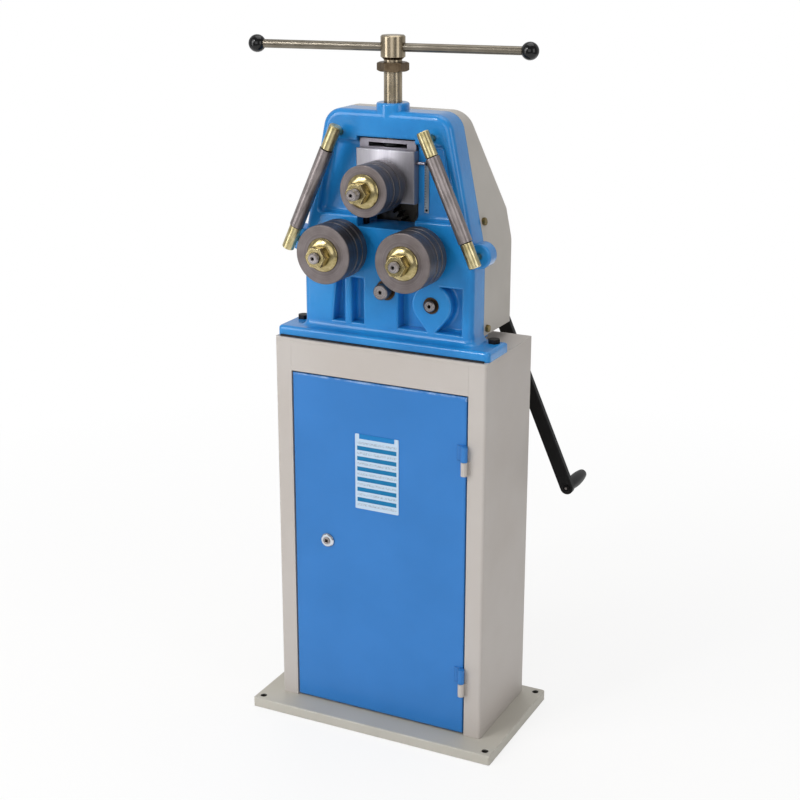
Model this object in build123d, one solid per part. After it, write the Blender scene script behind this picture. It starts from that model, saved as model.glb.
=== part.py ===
from build123d import *
from math import acos, atan2, cos, degrees, hypot, pi, radians, sin, sqrt, tan
import os

# Hand-cranked three-roll bender on a cabinet stand, in millimetres.
# Origin on the floor under the centre of the base plate. +X is the operator's right when facing
# the rolls, +Y runs from the rolls to the crank, +Z is up.

# Driving dimensions: rolls
lower_roll_diameter = 112.0
lower_roll_gap = 53.0           # free space between the two lower rolls
lower_front_disc = 31.5         # width of the front disc of a lower roll
lower_rear_disc = 18.0          # width of each of the two discs behind it
top_roll_diameter = 96.0
top_front_disc = 29.0
top_rear_disc = 21.5
disc_groove_width = 2.5         # groove between two discs
disc_groove_depth = 4.0
disc_edge = 1.2                 # chamfer on the rim of a disc
roll_closing_gap = 12.65        # upper roll above its contact height at full screw-down

# Driving dimensions: shafts
roll_seat_diameter = 30.0
roll_journal_diameter = 36.0
roll_collar_diameter = 52.0     # shoulder that the discs are clamped against
roll_collar_length = 24.1
top_flange_length = 10.4        # the same shoulder on the top shaft
nut_thread_diameter = 20.0
nut_thread_length = 39.0        # thread from the front disc to the shaft end
top_thread_length = 48.0
washer_diameter = 64.0
washer_height = 9.0
washer_land_diameter = 40.0     # flat top under the nut
washer_rim = 2.2                # straight edge below the dome
washer_crown = 7.0              # height of the dome half way in
roll_nut_flats = 36.0
roll_nut_height = 22.0
shaft_chamfer = 2.0
centre_hole_diameter = 7.0
intermediate_diameter = 30.0
crank_shaft_diameter = 22.0
intermediate_nose = 25.0        # shaft end standing proud of the casting front
crank_nose = 9.0
bush_wall = 5.0
bush_length = 28.0
plate_bush_length = 15.0
plate_journal_diameter = 20.0   # intermediate shaft in the rear plate
gear_seat_step = 2.0            # gear seats smaller than the journals, on the radius
gear_hub_wall = 9.0
shaft_tail = 4.0                # roll shaft behind its gear

# Driving dimensions: gears
roll_gear_teeth = 38
roll_pinion_teeth = 19
roll_gear_gap = 5.0             # tip clearance between the two roll gears
crank_gear_teeth = 50
crank_pinion_teeth = 15
crank_gear_module = 3.0
crank_side_angle = 12.0         # crank shaft below the level of the intermediate shaft
pressure_angle = 20.0
gear_backlash = 0.5
roll_gear_face = 30.0
crank_gear_face = 25.0
gear_setback = 15.0             # from the back of the casting to the roll gears
gear_spacing = 8.0              # between the two gear planes
gear_floor_gap = 11.8           # intermediate gear above the foot flange

# Driving dimensions: head casting
casting_side = 97.5             # roll axis to the side of the casting
casting_side_depth = 57.0       # front of the casting to the edge of the cover
casting_shoulder = 3.5          # start of the slanted sides above the roll axes
casting_shoulder_radius = 70.0
casting_top_radius = 38.0
casting_top_margin = 32.3       # upper guide stud to the top corner
casting_edge_radius = 13.0
casting_root_radius = 13.0      # where the front and sides meet the flange
casting_rim = 22.0
web_recess = 16.0               # upper web behind the casting front
recess_radius = 8.0
recess_floor_radius = 10.0
recess_edge_radius = 5.0
web_bottom = 60.0               # lower edge of the recess above the roll axes
web_top_gap = 9.0               # upper edge of the recess below the window top
pocket_depth = 26.0
pocket_floor = 18.0             # pockets above the flange
pocket_radius = 8.0             # corners of a pocket, seen from the front
pocket_floor_radius = 7.0
pocket_edge_radius = 4.0
pocket_reach = 33.5             # left pocket from the roll axis, each way at its foot
pocket_lean = 9.0               # outer edge of the left pocket leaning in by this at the top
pocket_rib = 7.5                # half width of the rib under the left roll
pocket_inner_edge = 25.5        # right pocket's inner edge from the middle
pocket_top = 62.0               # pocket top below the roll axes
crank_boss_radius = 41.0
crank_boss_foot = 10.0          # half width of the foot under the crank boss
hollow_wall = 18.0              # side walls round the hollow in the back
hollow_depth = 46.0
hollow_boss_wall = 13.0         # iron left round each bore in the hollow
bridge_height = 48.5            # iron above the slide window
screw_boss_diameter = 62.0
screw_boss_height = 14.0
boss_edge = 4.0
flange_ledge = 47.0             # flange beyond the casting sides
flange_toe = 26.0               # flange in front of the casting
flange_depth = 88.0
flange_thickness = 20.0
flange_corner_radius = 10.0
flange_edge_radius = 7.0
head_bolt_inset = 20.0          # bolt axis to the end of the flange
head_bolt_back = 18.0           # bolt axis to the back of the flange
head_bolt_diameter = 14.0
head_bolt_flats = 21.0
head_bolt_head = 8.0
head_bolt_reach = 13.5          # bolt end below the stand top
ear_radius = 24.0
ear_offset = 11.0               # ear centre outside the casting side
ear_thickness = 30.0

# Driving dimensions: slide, screw and tommy bar
slide_width = 121.0
slide_below_axis = 33.5
slide_above_axis = 64.5
slide_back_gap = 4.0
slide_edge = 1.5
key_width = 12.0
key_depth = 7.0                 # key in the casting, and key in the slide
keeper_floor = 3.0
keeper_slot_height = 8.0
keeper_slot_width = 80.0
keeper_roof = 7.0
keeper_inset = 2.0              # keeper narrower than the slide on each side
keeper_setback = 12.0           # keeper behind the front of the slide
screw_down_travel = 48.0
screw_up_travel = 3.0
window_gap = 3.0
lift_gap = 0.6
screw_diameter = 34.0
screw_neck_diameter = 18.0
screw_collar_diameter = 38.0
screw_collar_height = 6.0
screw_nut_wall = 6.5
screw_nut_flange = 4.0
lock_nut_flats = 52.0
lock_nut_height = 16.5
lock_nut_rise = 56.5            # lock nut above the boss
lock_nut_turn = 26.0            # as it was left
screw_head_rise = 4.5           # screw head above the lock nut
screw_head_diameter = 46.0
screw_head_height = 44.0
screw_head_chamfer = 5.0
tommy_diameter = 16.0
tommy_left = 268.0              # ball centres from the screw axis
tommy_right = 257.0
tommy_angle = 9.2               # as the bar was left
ball_diameter = 33.0
ball_thread_diameter = 10.0
ball_thread_length = 12.0
top_collar_diameter = 54.0
top_collar_length = 10.0
pointer_diameter = 6.0
pointer_length = 17.0
pointer_edge = 0.8
pointer_rise = 42.5             # above the top roll axis
scale_width = 9.0
scale_length = 96.0
scale_thickness = 1.5
scale_offset = 13.0             # inner edge of the scale from the slide
scale_drop = 2.5                # scale middle below the top roll axis

# Driving dimensions: guide rollers
guide_top_offset = 35.0         # upper stud outside the slide block
guide_top_rise = 5.5            # upper stud above the window top
guide_bottom_rise = 4.5         # lower stud above the roll axes
guide_standoff = 28.0           # guide axis in front of the casting
guide_sleeve_diameter = 27.0
guide_block_diameter = 24.0
guide_block_length = 49.0
guide_block_edge = 1.5
guide_block_end = 16.0          # block beyond its stud
guide_journal_diameter = 15.0
guide_journal_length = 40.0
guide_stud_diameter = 13.0
guide_stud_depth = 18.0         # stud in the casting
guide_stud_cover = 5.0          # block left in front of the stud
guide_end_gap = 0.5

# Driving dimensions: gear cover
cover_depth = 138.0
cover_wall = 3.0
cover_lap = 26.0                # cover over the spigot of the casting
cover_floor_gap = 6.0           # cover's lower edge above the flange
cover_slope_start = 62.0        # start of the sloping back above the roll axes
cover_top_depth = 35.0
cover_edge_radius = 12.0
cover_screw_diameter = 8.0
cover_screw_flats = 13.0
cover_screw_head = 6.0
cover_screw_depth = 12.0
cover_screw_rise = 56.0         # upper screws above the roll axes
cover_screw_low = 13.0          # lower screws above the cover's edge

# Driving dimensions: rear bearing plate
plate_thickness = 15.0
plate_margin = 14.0
plate_corner_radius = 8.0
plate_gap = 5.0                 # behind the crank gears
pillar_diameter = 16.0
pillar_tenon_diameter = 10.0
pillar_side = 30.0              # pillars outside the gears
pillar_rise = 46.0              # lower pillars above the flange
pillar_gear_gap = 3.0
pillar_root = 14.0              # pillar in the casting
bearing_boss_wall = 12.0
bearing_boss_reach = 14.0       # bearing boss behind the cover

# Driving dimensions: crank
crank_length = 465.0
crank_angle = 23.9              # arm from straight down, towards +X
crank_reach = 72.0              # middle of the arm behind the cover
crank_arm_width = 28.0
crank_arm_thickness = 12.0
crank_arm_edge = 1.0
crank_hub_diameter = 46.0
crank_hub_length = 34.0
crank_bolt_flats = 17.0
crank_bolt_head = 8.0
crank_bolt_diameter = 10.0
crank_bolt_depth = 25.0
crank_washer_diameter = 30.0
crank_washer_height = 4.0
grip_length = 84.0
grip_diameter = 27.0
grip_neck_diameter = 19.0
grip_pin_diameter = 10.0
grip_pin_head_diameter = 15.0
grip_pin_head = 3.0
grip_gap = 0.6
grip_edge_radius = 2.0

# Driving dimensions: stand, door and base
stand_height = 780.0
head_setback = 10.0             # flange behind the front of the stand
cover_overhang = 4.0            # cover behind the back of the stand
stand_sheet = 2.5
stand_bend = 6.0                # outside radius of the folded corners
stand_top_thickness = 6.0
stile_width = 36.0
rail_height = 66.0
lip_depth = 14.0
base_side_ledge = 43.0
base_front_ledge = 52.0
base_back_ledge = 21.0
base_thickness = 20.0
base_corner_radius = 5.0
base_edge = 1.5
anchor_margin = 16.0
anchor_hole_diameter = 14.0
door_gap = 3.0
door_foot_gap = 4.0
door_sheet = 2.0
door_depth = 16.0
door_edge_radius = 2.0
hinge_barrel_diameter = 13.0
hinge_pin_diameter = 7.0
hinge_seat_height = 27.5
hinge_knuckle_height = 31.0
hinge_pin_length = 24.0
hinge_upper = 577.3             # foot of the upper hinge above the floor
hinge_lower = 110.6
hinge_leaf_width = 14.0         # on the door
hinge_seat_leaf = 6.0           # on the stand
hinge_leaf_thickness = 3.0
hinge_leaf_gap = 3.0
hinge_stand_off = 0.5
hinge_offset = 3.7              # hinge axis inside the edge of the opening
label_width = 95.0
label_height = 156.0
label_thickness = 1.2
label_corner_radius = 2.0
label_middle_x = -1.8
label_middle_z = 546.8
lock_x = -114.0
lock_z = 387.0
lock_flange_diameter = 29.0
lock_flange_height = 5.0
lock_body_diameter = 20.0
lock_plug_diameter = 15.0
lock_plug_proud = 1.0
lock_key_width = 7.0
lock_key_depth = 4.0
tongue_length = 86.0            # lock axis to the tip of the tongue
tongue_width = 16.0
tongue_thickness = 3.0
tongue_corner_radius = 5.0
tongue_gap = 4.0                # tongue behind the lip of the stile

# Clearances
running_fit = 0.05              # radial, shafts and pins that turn
seat_fit = 0.02                 # radial, pieces that are fixed together
slide_fit = 0.1
slide_roll_gap = 21.3           # slide block behind the lower rolls, which it passes
thrust_gap = 0.4                # between faces that turn past each other

# Across the machine
roll_spacing = lower_roll_diameter + lower_roll_gap
roll_x = roll_spacing / 2
casting_half = roll_x + casting_side
flange_half = casting_half + flange_ledge
stand_half = flange_half
base_half = stand_half + base_side_ledge
opening_half = stand_half - stile_width
slide_half = slide_width / 2
window_half = slide_half + slide_fit
guide_top_x = slide_half + guide_top_offset
casting_top_half = guide_top_x + casting_top_margin
ear_x = casting_half + ear_offset

# Front to back
stand_depth = head_setback + flange_toe + casting_side_depth + cover_depth - cover_overhang
base_depth = base_front_ledge + stand_depth + base_back_ledge
base_front = -base_depth / 2
stand_front = base_front + base_front_ledge
stand_back = stand_front + stand_depth
flange_front = stand_front + head_setback
flange_back = flange_front + flange_depth
casting_front = flange_front + flange_toe
cover_front = casting_front + casting_side_depth
casting_back = cover_front + cover_lap
cover_back = cover_front + cover_depth
screw_y = casting_front + screw_boss_diameter / 2
roll_gear_y = casting_back + gear_setback
crank_gear_y = roll_gear_y + roll_gear_face + gear_spacing
plate_y = crank_gear_y + crank_gear_face + plate_gap
plate_back = plate_y + plate_thickness
bearing_end = max(cover_back, plate_back) + bearing_boss_reach
crank_y = max(cover_back, stand_back) + crank_reach
guide_y = casting_front - guide_standoff

# Gears, then the heights that follow from them
roll_module = (roll_spacing - roll_gear_gap) / (roll_gear_teeth + 2)
roll_gear_tip = roll_module * (roll_gear_teeth + 2) / 2
roll_centres = roll_module * (roll_gear_teeth + roll_pinion_teeth) / 2
crank_gear_tip = crank_gear_module * (crank_gear_teeth + 2) / 2
crank_pinion_tip = crank_gear_module * (crank_pinion_teeth + 2) / 2
crank_centres = crank_gear_module * (crank_gear_teeth + crank_pinion_teeth) / 2
stand_foot = base_thickness
stand_top = stand_foot + stand_height
flange_top = stand_top + flange_thickness
intermediate_z = flange_top + gear_floor_gap + max(crank_gear_tip, roll_module * (roll_pinion_teeth + 2) / 2)
roll_z = intermediate_z + sqrt(roll_centres ** 2 - roll_x ** 2)
crank_x = crank_centres * cos(radians(crank_side_angle))
crank_z = intermediate_z - crank_centres * sin(radians(crank_side_angle))
contact_reach = (lower_roll_diameter + top_roll_diameter) / 2
contact_rise = sqrt(contact_reach ** 2 - roll_x ** 2)
top_z = roll_z + contact_rise + roll_closing_gap + screw_down_travel
slide_bottom = top_z - slide_below_axis
slide_top = top_z + slide_above_axis
keeper_top = slide_top + keeper_floor + keeper_slot_height + keeper_roof
window_bottom = slide_bottom - screw_down_travel - window_gap
window_top = keeper_top + screw_up_travel + lift_gap
casting_top = window_top + bridge_height
shoulder_z = roll_z + casting_shoulder
boss_top = casting_top + screw_boss_height
lock_nut_z = boss_top + lock_nut_rise
screw_head_z = lock_nut_z + lock_nut_height + screw_head_rise
tommy_z = screw_head_z + screw_head_height / 2
cover_floor = flange_top + cover_floor_gap
slide_front = casting_front - thrust_gap - roll_collar_length + slide_roll_gap
slide_back = casting_back - slide_back_gap
keeper_front = slide_front + keeper_setback

# Guide roller axis, from the upper stud to the lower one, right-hand side
guide_top_z = window_top + guide_top_rise
guide_bottom_z = roll_z + guide_bottom_rise
guide_span = hypot(ear_x - guide_top_x, guide_top_z - guide_bottom_z)
guide_tilt = degrees(atan2(ear_x - guide_top_x, guide_top_z - guide_bottom_z))


def block(x0, x1, y0, y1, z0, z1):
    return Pos((x0 + x1) / 2, (y0 + y1) / 2, (z0 + z1) / 2) * Box(x1 - x0, y1 - y0, z1 - z0)


def slab(sketch, y0, y1):
    # A sketch drawn in X and Z, made solid from y0 back to y1
    return extrude(Plane((0, y1, 0), x_dir=(1, 0, 0), z_dir=(0, -1, 0)) * sketch, amount=y1 - y0)


def rod(x, z, diameter, y0, y1):
    return slab(Pos(x, z) * Circle(diameter / 2), y0, y1)


def tube(x, z, outer, inner, y0, y1):
    return slab(Pos(x, z) * (Circle(outer / 2) - Circle(inner / 2)), y0, y1)


def post(x, y, diameter, z0, z1):
    return Pos(x, y, (z0 + z1) / 2) * Cylinder(diameter / 2, z1 - z0)


def turned_y(x, z, outline):
    # Turned piece with its axis along Y; the outline is a list of (radius, y)
    face = make_face(Polyline(*[(x + radius, y, z) for radius, y in outline], close=True))
    return revolve(face, Axis((x, 0, z), (0, 1, 0)))


def turned_z(x, y, outline):
    # Turned piece with its axis along Z; the outline is a list of (radius, z)
    face = make_face(Polyline(*[(x + radius, y, z) for radius, z in outline], close=True))
    return revolve(face, Axis((x, y, 0), (0, 0, 1)))


def hexagon(flats):
    return RegularPolygon(flats / 2, 6, major_radius=False)


def hex_cap(flats, height):
    # Hexagon along Z with the corners of its outer face turned off
    reach = flats / sqrt(3)
    trim = reach - flats / 2
    body = extrude(hexagon(flats), amount=height)
    cone = turned_z(0, 0, [(0, 0), (reach, 0), (reach, height - trim / 2),
                           (flats / 2, height), (0, height)])
    return body & cone


def facing_front(piece, x, y, z):
    # Turns a piece built along Z to point along -Y
    return Pos(x, y, z) * Rot(90, 0, 0) * piece


def centre_drill(x, z, y0):
    # Centre hole in a shaft end that faces -Y
    radius = centre_hole_diameter / 2
    return turned_y(x, z, [(0, y0 - 1), (radius + 1, y0 - 1), (radius, y0), (0, y0 + 2 * radius)])


def mirrored(shape):
    return mirror(shape, about=Plane.YZ)


def both_sides(shape):
    return Compound([shape, mirrored(shape)])


def gear(x, z, module, teeth, phase, bore, y0, y1):
    # Spur gear with involute flanks, a tooth centred at the phase angle
    pitch = module * teeth / 2
    base = pitch * cos(radians(pressure_angle))
    root = pitch - 1.25 * module
    tip = pitch + module
    half_tooth = (pi * module / 2 - gear_backlash / 2) / (2 * pitch)

    def half_angle(radius):
        def involute(at):
            angle = acos(base / max(at, base))
            return tan(angle) - angle
        return half_tooth + involute(pitch) - involute(radius)

    radii = (root, (root + pitch) / 2, pitch, (pitch + tip) / 2, tip)
    points = []
    for tooth in range(teeth):
        middle = radians(phase) + 2 * pi * tooth / teeth
        for side, flank in ((-1, radii), (1, tuple(reversed(radii)))):
            for radius in flank:
                angle = middle + side * half_angle(radius)
                points.append((radius * cos(angle), radius * sin(angle)))
    return slab(Pos(x, z) * (Polygon(*points, align=None) - Circle(bore / 2)), y0, y1)


def meshing_phase(phase, teeth, other_teeth, direction):
    # Phase of a second gear, lying in the given direction, whose gap takes the first gear's tooth
    return direction + 180 - (phase - direction) * teeth / other_teeth + 180 / other_teeth


def head_outline(inset, floor):
    # Outline of the casting, seen from the front, drawn in by the inset except along its floor
    outline = Polygon((-casting_half, floor - inset), (casting_half, floor - inset),
                      (casting_half, shoulder_z), (casting_top_half, casting_top),
                      (-casting_top_half, casting_top), (-casting_half, shoulder_z), align=None)
    if inset > 0:
        outline = offset(outline, -inset, kind=Kind.INTERSECTION)
    rows = outline.vertices().group_by(Axis.Y)
    outline = fillet(rows[-1], casting_top_radius - inset)
    rows = outline.vertices().group_by(Axis.Y)
    return fillet(rows[1], casting_shoulder_radius - inset)


parts = {}

# Base plate with its anchor holes
anchor_x = base_half - anchor_margin
anchor_y = base_depth / 2 - anchor_margin
plate_sketch = RectangleRounded(2 * base_half, base_depth, base_corner_radius)
base_plate = extrude(plate_sketch, amount=base_thickness)
base_plate = chamfer(base_plate.edges().group_by(Axis.Z)[-1], base_edge)
for x in (-anchor_x, anchor_x):
    for y in (-anchor_y, anchor_y):
        base_plate -= post(x, y, anchor_hole_diameter, -1, base_thickness + 1)
parts["base_plate"] = base_plate

# Cabinet stand, folded from sheet and welded to the base plate
stand_middle = (stand_front + stand_back) / 2
panel_top = stand_top - stand_top_thickness
rail_foot = stand_top - rail_height
stand_ring = RectangleRounded(2 * stand_half, stand_depth, stand_bend)
stand_ring -= RectangleRounded(2 * (stand_half - stand_sheet), stand_depth - 2 * stand_sheet,
                               stand_bend - stand_sheet)
stand_shell = Pos(0, stand_middle, stand_foot) * extrude(stand_ring, amount=panel_top - stand_foot)
right_side = stand_shell & block(opening_half, stand_half + 1, stand_front - 1, stand_back + 1,
                                 stand_foot, panel_top)
right_side += block(opening_half, opening_half + stand_sheet, stand_front, stand_front + lip_depth,
                    stand_foot, panel_top)
parts["stand_right_side"] = right_side
parts["stand_left_side"] = mirrored(right_side)
front_rail = block(-opening_half, opening_half, stand_front, stand_front + stand_sheet,
                   rail_foot, panel_top)
front_rail += block(-opening_half, opening_half, stand_front, stand_front + lip_depth,
                    rail_foot, rail_foot + stand_sheet)
parts["stand_front_rail"] = front_rail
parts["stand_back"] = block(-opening_half, opening_half, stand_back - stand_sheet, stand_back,
                            stand_foot, panel_top)
head_bolt_x = flange_half - head_bolt_inset
head_bolt_y = flange_back - head_bolt_back
lid = Pos(0, stand_middle, panel_top) * extrude(
    RectangleRounded(2 * stand_half, stand_depth, stand_bend), amount=stand_top_thickness)
for x in (-head_bolt_x, head_bolt_x):
    lid -= post(x, head_bolt_y, head_bolt_diameter + 2 * seat_fit, panel_top - 1, stand_top + 1)
parts["stand_top"] = lid

# Door: a folded pan in the opening, hung on two lift-off hinges
door_half = opening_half - door_gap
door_foot = stand_foot + door_foot_gap
door_head = rail_foot - door_gap
pan = block(-door_half, door_half, stand_front, stand_front + door_depth, door_foot, door_head)
pan = fillet(pan.faces().sort_by(Axis.Y)[0].edges(), door_edge_radius)
pan -= block(-door_half + door_sheet, door_half - door_sheet, stand_front + door_sheet,
             stand_front + door_depth + 1, door_foot + door_sheet, door_head - door_sheet)
pan -= rod(lock_x, lock_z, lock_body_diameter + 2 * seat_fit, stand_front - 1, stand_front + door_depth)
parts["door_panel"] = pan

hinge_x = opening_half - hinge_offset
hinge_y = stand_front - hinge_barrel_diameter / 2 - hinge_stand_off
seats = []
knuckles = []
for foot in (hinge_lower, hinge_upper):
    split = foot + hinge_seat_height
    seat = post(hinge_x, hinge_y, hinge_barrel_diameter, foot, split)
    seat += post(hinge_x, hinge_y, hinge_pin_diameter, split, split + hinge_pin_length)
    seat += block(hinge_x + hinge_leaf_gap, hinge_x + hinge_leaf_gap + hinge_seat_leaf,
                  stand_front - hinge_leaf_thickness, stand_front, foot, split)
    seats.append(seat)
    knuckle = post(hinge_x, hinge_y, hinge_barrel_diameter, split + thrust_gap,
                   split + hinge_knuckle_height)
    knuckle += block(hinge_x - hinge_leaf_gap - hinge_leaf_width, hinge_x - hinge_leaf_gap,
                     stand_front - hinge_leaf_thickness, stand_front,
                     split + thrust_gap, split + hinge_knuckle_height)
    knuckle -= post(hinge_x, hinge_y, hinge_pin_diameter + 2 * running_fit, split - 1,
                    split + hinge_pin_length + 2 * thrust_gap)
    knuckles.append(knuckle)
parts["hinge_seats"] = Compound(seats)
parts["door_knuckles"] = Compound(knuckles)
label = slab(Pos(label_middle_x, label_middle_z) * RectangleRounded(
    label_width, label_height, label_corner_radius),
             stand_front - label_thickness, stand_front)
parts["door_label"] = label

# Lock: a housing in the door, a plug that turns in it and a tongue behind the door
lock_face = stand_front - lock_flange_height
tongue_y = stand_front + max(lip_depth, door_depth) + tongue_gap
housing = turned_y(lock_x, lock_z, [
    (lock_plug_diameter / 2 + running_fit, lock_face),
    (lock_flange_diameter / 2 - lock_flange_height / 2, lock_face),
    (lock_flange_diameter / 2, lock_face + lock_flange_height / 2),
    (lock_flange_diameter / 2, stand_front), (lock_body_diameter / 2, stand_front),
    (lock_body_diameter / 2, tongue_y - thrust_gap),
    (lock_plug_diameter / 2 + running_fit, tongue_y - thrust_gap)])
parts["lock_housing"] = housing
plug = rod(lock_x, lock_z, lock_plug_diameter, lock_face - lock_plug_proud, tongue_y)
plug += rod(lock_x, lock_z, lock_body_diameter / 2, tongue_y, tongue_y + tongue_thickness)
plug -= slab(Pos(lock_x, lock_z) * Rectangle(lock_key_width, lock_key_width),
             lock_face - lock_plug_proud - 1, lock_face + lock_key_depth)
parts["lock_plug"] = plug
tongue_sketch = Pos(lock_x, lock_z - (tongue_length - tongue_width / 2) / 2) * RectangleRounded(
    tongue_width, tongue_length + tongue_width / 2, tongue_corner_radius)
tongue_sketch -= Pos(lock_x, lock_z) * Circle(lock_body_diameter / 4 + seat_fit)
parts["lock_tongue"] = slab(tongue_sketch, tongue_y, tongue_y + tongue_thickness)

# Head casting: a hollow-backed frame on a foot flange
bores = (
    (-roll_x, roll_z, roll_journal_diameter),
    (roll_x, roll_z, roll_journal_diameter),
    (0, intermediate_z, intermediate_diameter),
    (crank_x, crank_z, crank_shaft_diameter),
)
pillar_left = -(crank_gear_tip + pillar_side)
pillar_right = crank_x + crank_pinion_tip + pillar_side
pillar_low = flange_top + pillar_rise
pillar_high = roll_z - roll_gear_tip - pillar_diameter / 2 - pillar_gear_gap
pillar_spots = [(x, z) for x in (pillar_left, pillar_right) for z in (pillar_low, pillar_high)]
stud_spots = [(side * x, z) for side in (-1, 1)
              for x, z in ((guide_top_x, guide_top_z), (ear_x, guide_bottom_z))]
nut_diameter = screw_diameter + 2 * screw_nut_wall
nut_flange_diameter = nut_diameter + 2 * screw_nut_flange
pointer_y = casting_front + web_recess / 2
pointer_z = top_z + pointer_rise

# Screws of the cover: two in the slanted sides, two lower down, all square to the surface
side_slant = degrees(atan2(casting_half - casting_top_half, casting_top - shoulder_z))
cover_screw_y = cover_front + cover_lap / 2
cover_screw_z = roll_z + cover_screw_rise
cover_screw_x = casting_half - (cover_screw_z - shoulder_z) * tan(radians(side_slant))
upper_screw_place = Pos(cover_screw_x, cover_screw_y, cover_screw_z) * Rot(0, 90 - side_slant, 0)
lower_screw_place = Pos(casting_half, cover_screw_y, cover_floor + cover_screw_low) * Rot(0, 90, 0)


def screw_shank(diameter, below):
    return post(0, 0, diameter, -below, 0)


def front_pockets():
    # Pockets between the pillars and ribs under the rolls, with rounded corners and floors
    floor = flange_top + pocket_floor
    height = roll_z - pocket_top - floor
    middle = floor + height / 2
    right_width = casting_half - casting_rim - pocket_inner_edge
    left = Polygon((-pocket_reach, floor), (pocket_reach, floor), (pocket_reach, floor + height),
                   (pocket_lean - pocket_reach, floor + height), align=None)
    left = Pos(-roll_x, 0) * left - Pos(-roll_x, middle) * Rectangle(2 * pocket_rib, height)
    right = Pos(pocket_inner_edge + right_width / 2, middle) * Rectangle(right_width, height)
    boss = Pos(crank_x, crank_z) * Circle(crank_boss_radius)
    toe = Line((crank_x - crank_boss_foot, floor), (crank_x + crank_boss_foot, floor))
    right -= make_hull(boss.edges() + toe.edges())
    cutters = []
    for face in left.faces() + right.faces():
        rounded = fillet(face.vertices(), pocket_radius)
        cutter = slab(rounded, casting_front - pocket_edge_radius, casting_front + pocket_depth)
        deep_edges = cutter.faces().sort_by(Axis.Y)[-1].edges()
        cutters.append(fillet(deep_edges, pocket_floor_radius))
    return cutters


def web_recesses():
    # The web left and right of the slide, between the rim and the window
    low = roll_z + web_bottom
    high = window_top - web_top_gap
    band = Pos(0, (low + high) / 2) * Rectangle(2 * casting_half, high - low)
    band &= head_outline(casting_rim, low - casting_rim)
    band = fillet(band.vertices(), recess_radius)
    cutter = slab(band, casting_front - recess_edge_radius, casting_front + web_recess)
    return fillet(cutter.faces().sort_by(Axis.Y)[-1].edges(), recess_floor_radius)


def casting_hollow():
    # The back is cored out, leaving iron round every bore, pillar and the slide window
    hollow = head_outline(hollow_wall, flange_top + hollow_wall)
    for x, z, diameter in bores:
        hollow -= Pos(x, z) * Circle(diameter / 2 + bush_wall + hollow_boss_wall)
    for x, z in pillar_spots:
        hollow -= Pos(x, z) * Circle(pillar_diameter)
    frame_foot = window_bottom - hollow_wall
    hollow -= Pos(0, (frame_foot + casting_top) / 2) * Rectangle(
        2 * (window_half + hollow_wall), casting_top - frame_foot)
    hollow -= Pos(0, (window_top + casting_top) / 2) * Rectangle(
        2 * casting_half, casting_top - window_top + 2 * guide_stud_diameter)
    return slab(hollow, casting_back - hollow_depth, casting_back + 1)


def front_edges(shape):
    # Edges lying in the front plane of the casting
    flat = [edge for edge in shape.edges() if edge.bounding_box().size.Y < 0.1]
    return [edge for edge in flat if abs(edge.center().Y - casting_front) < 0.1]


def middle_of(edge):
    return tuple(round(value, 2) for value in edge.center())


def sunk(body, cutters, lip_radius):
    # The casting with these pockets sunk in its front and their lips rounded
    outer_middles = {middle_of(edge) for edge in front_edges(body)}
    for cutter in cutters:
        body -= cutter
    lips = [edge for edge in front_edges(body) if middle_of(edge) not in outer_middles]
    return fillet(lips, lip_radius)


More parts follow.
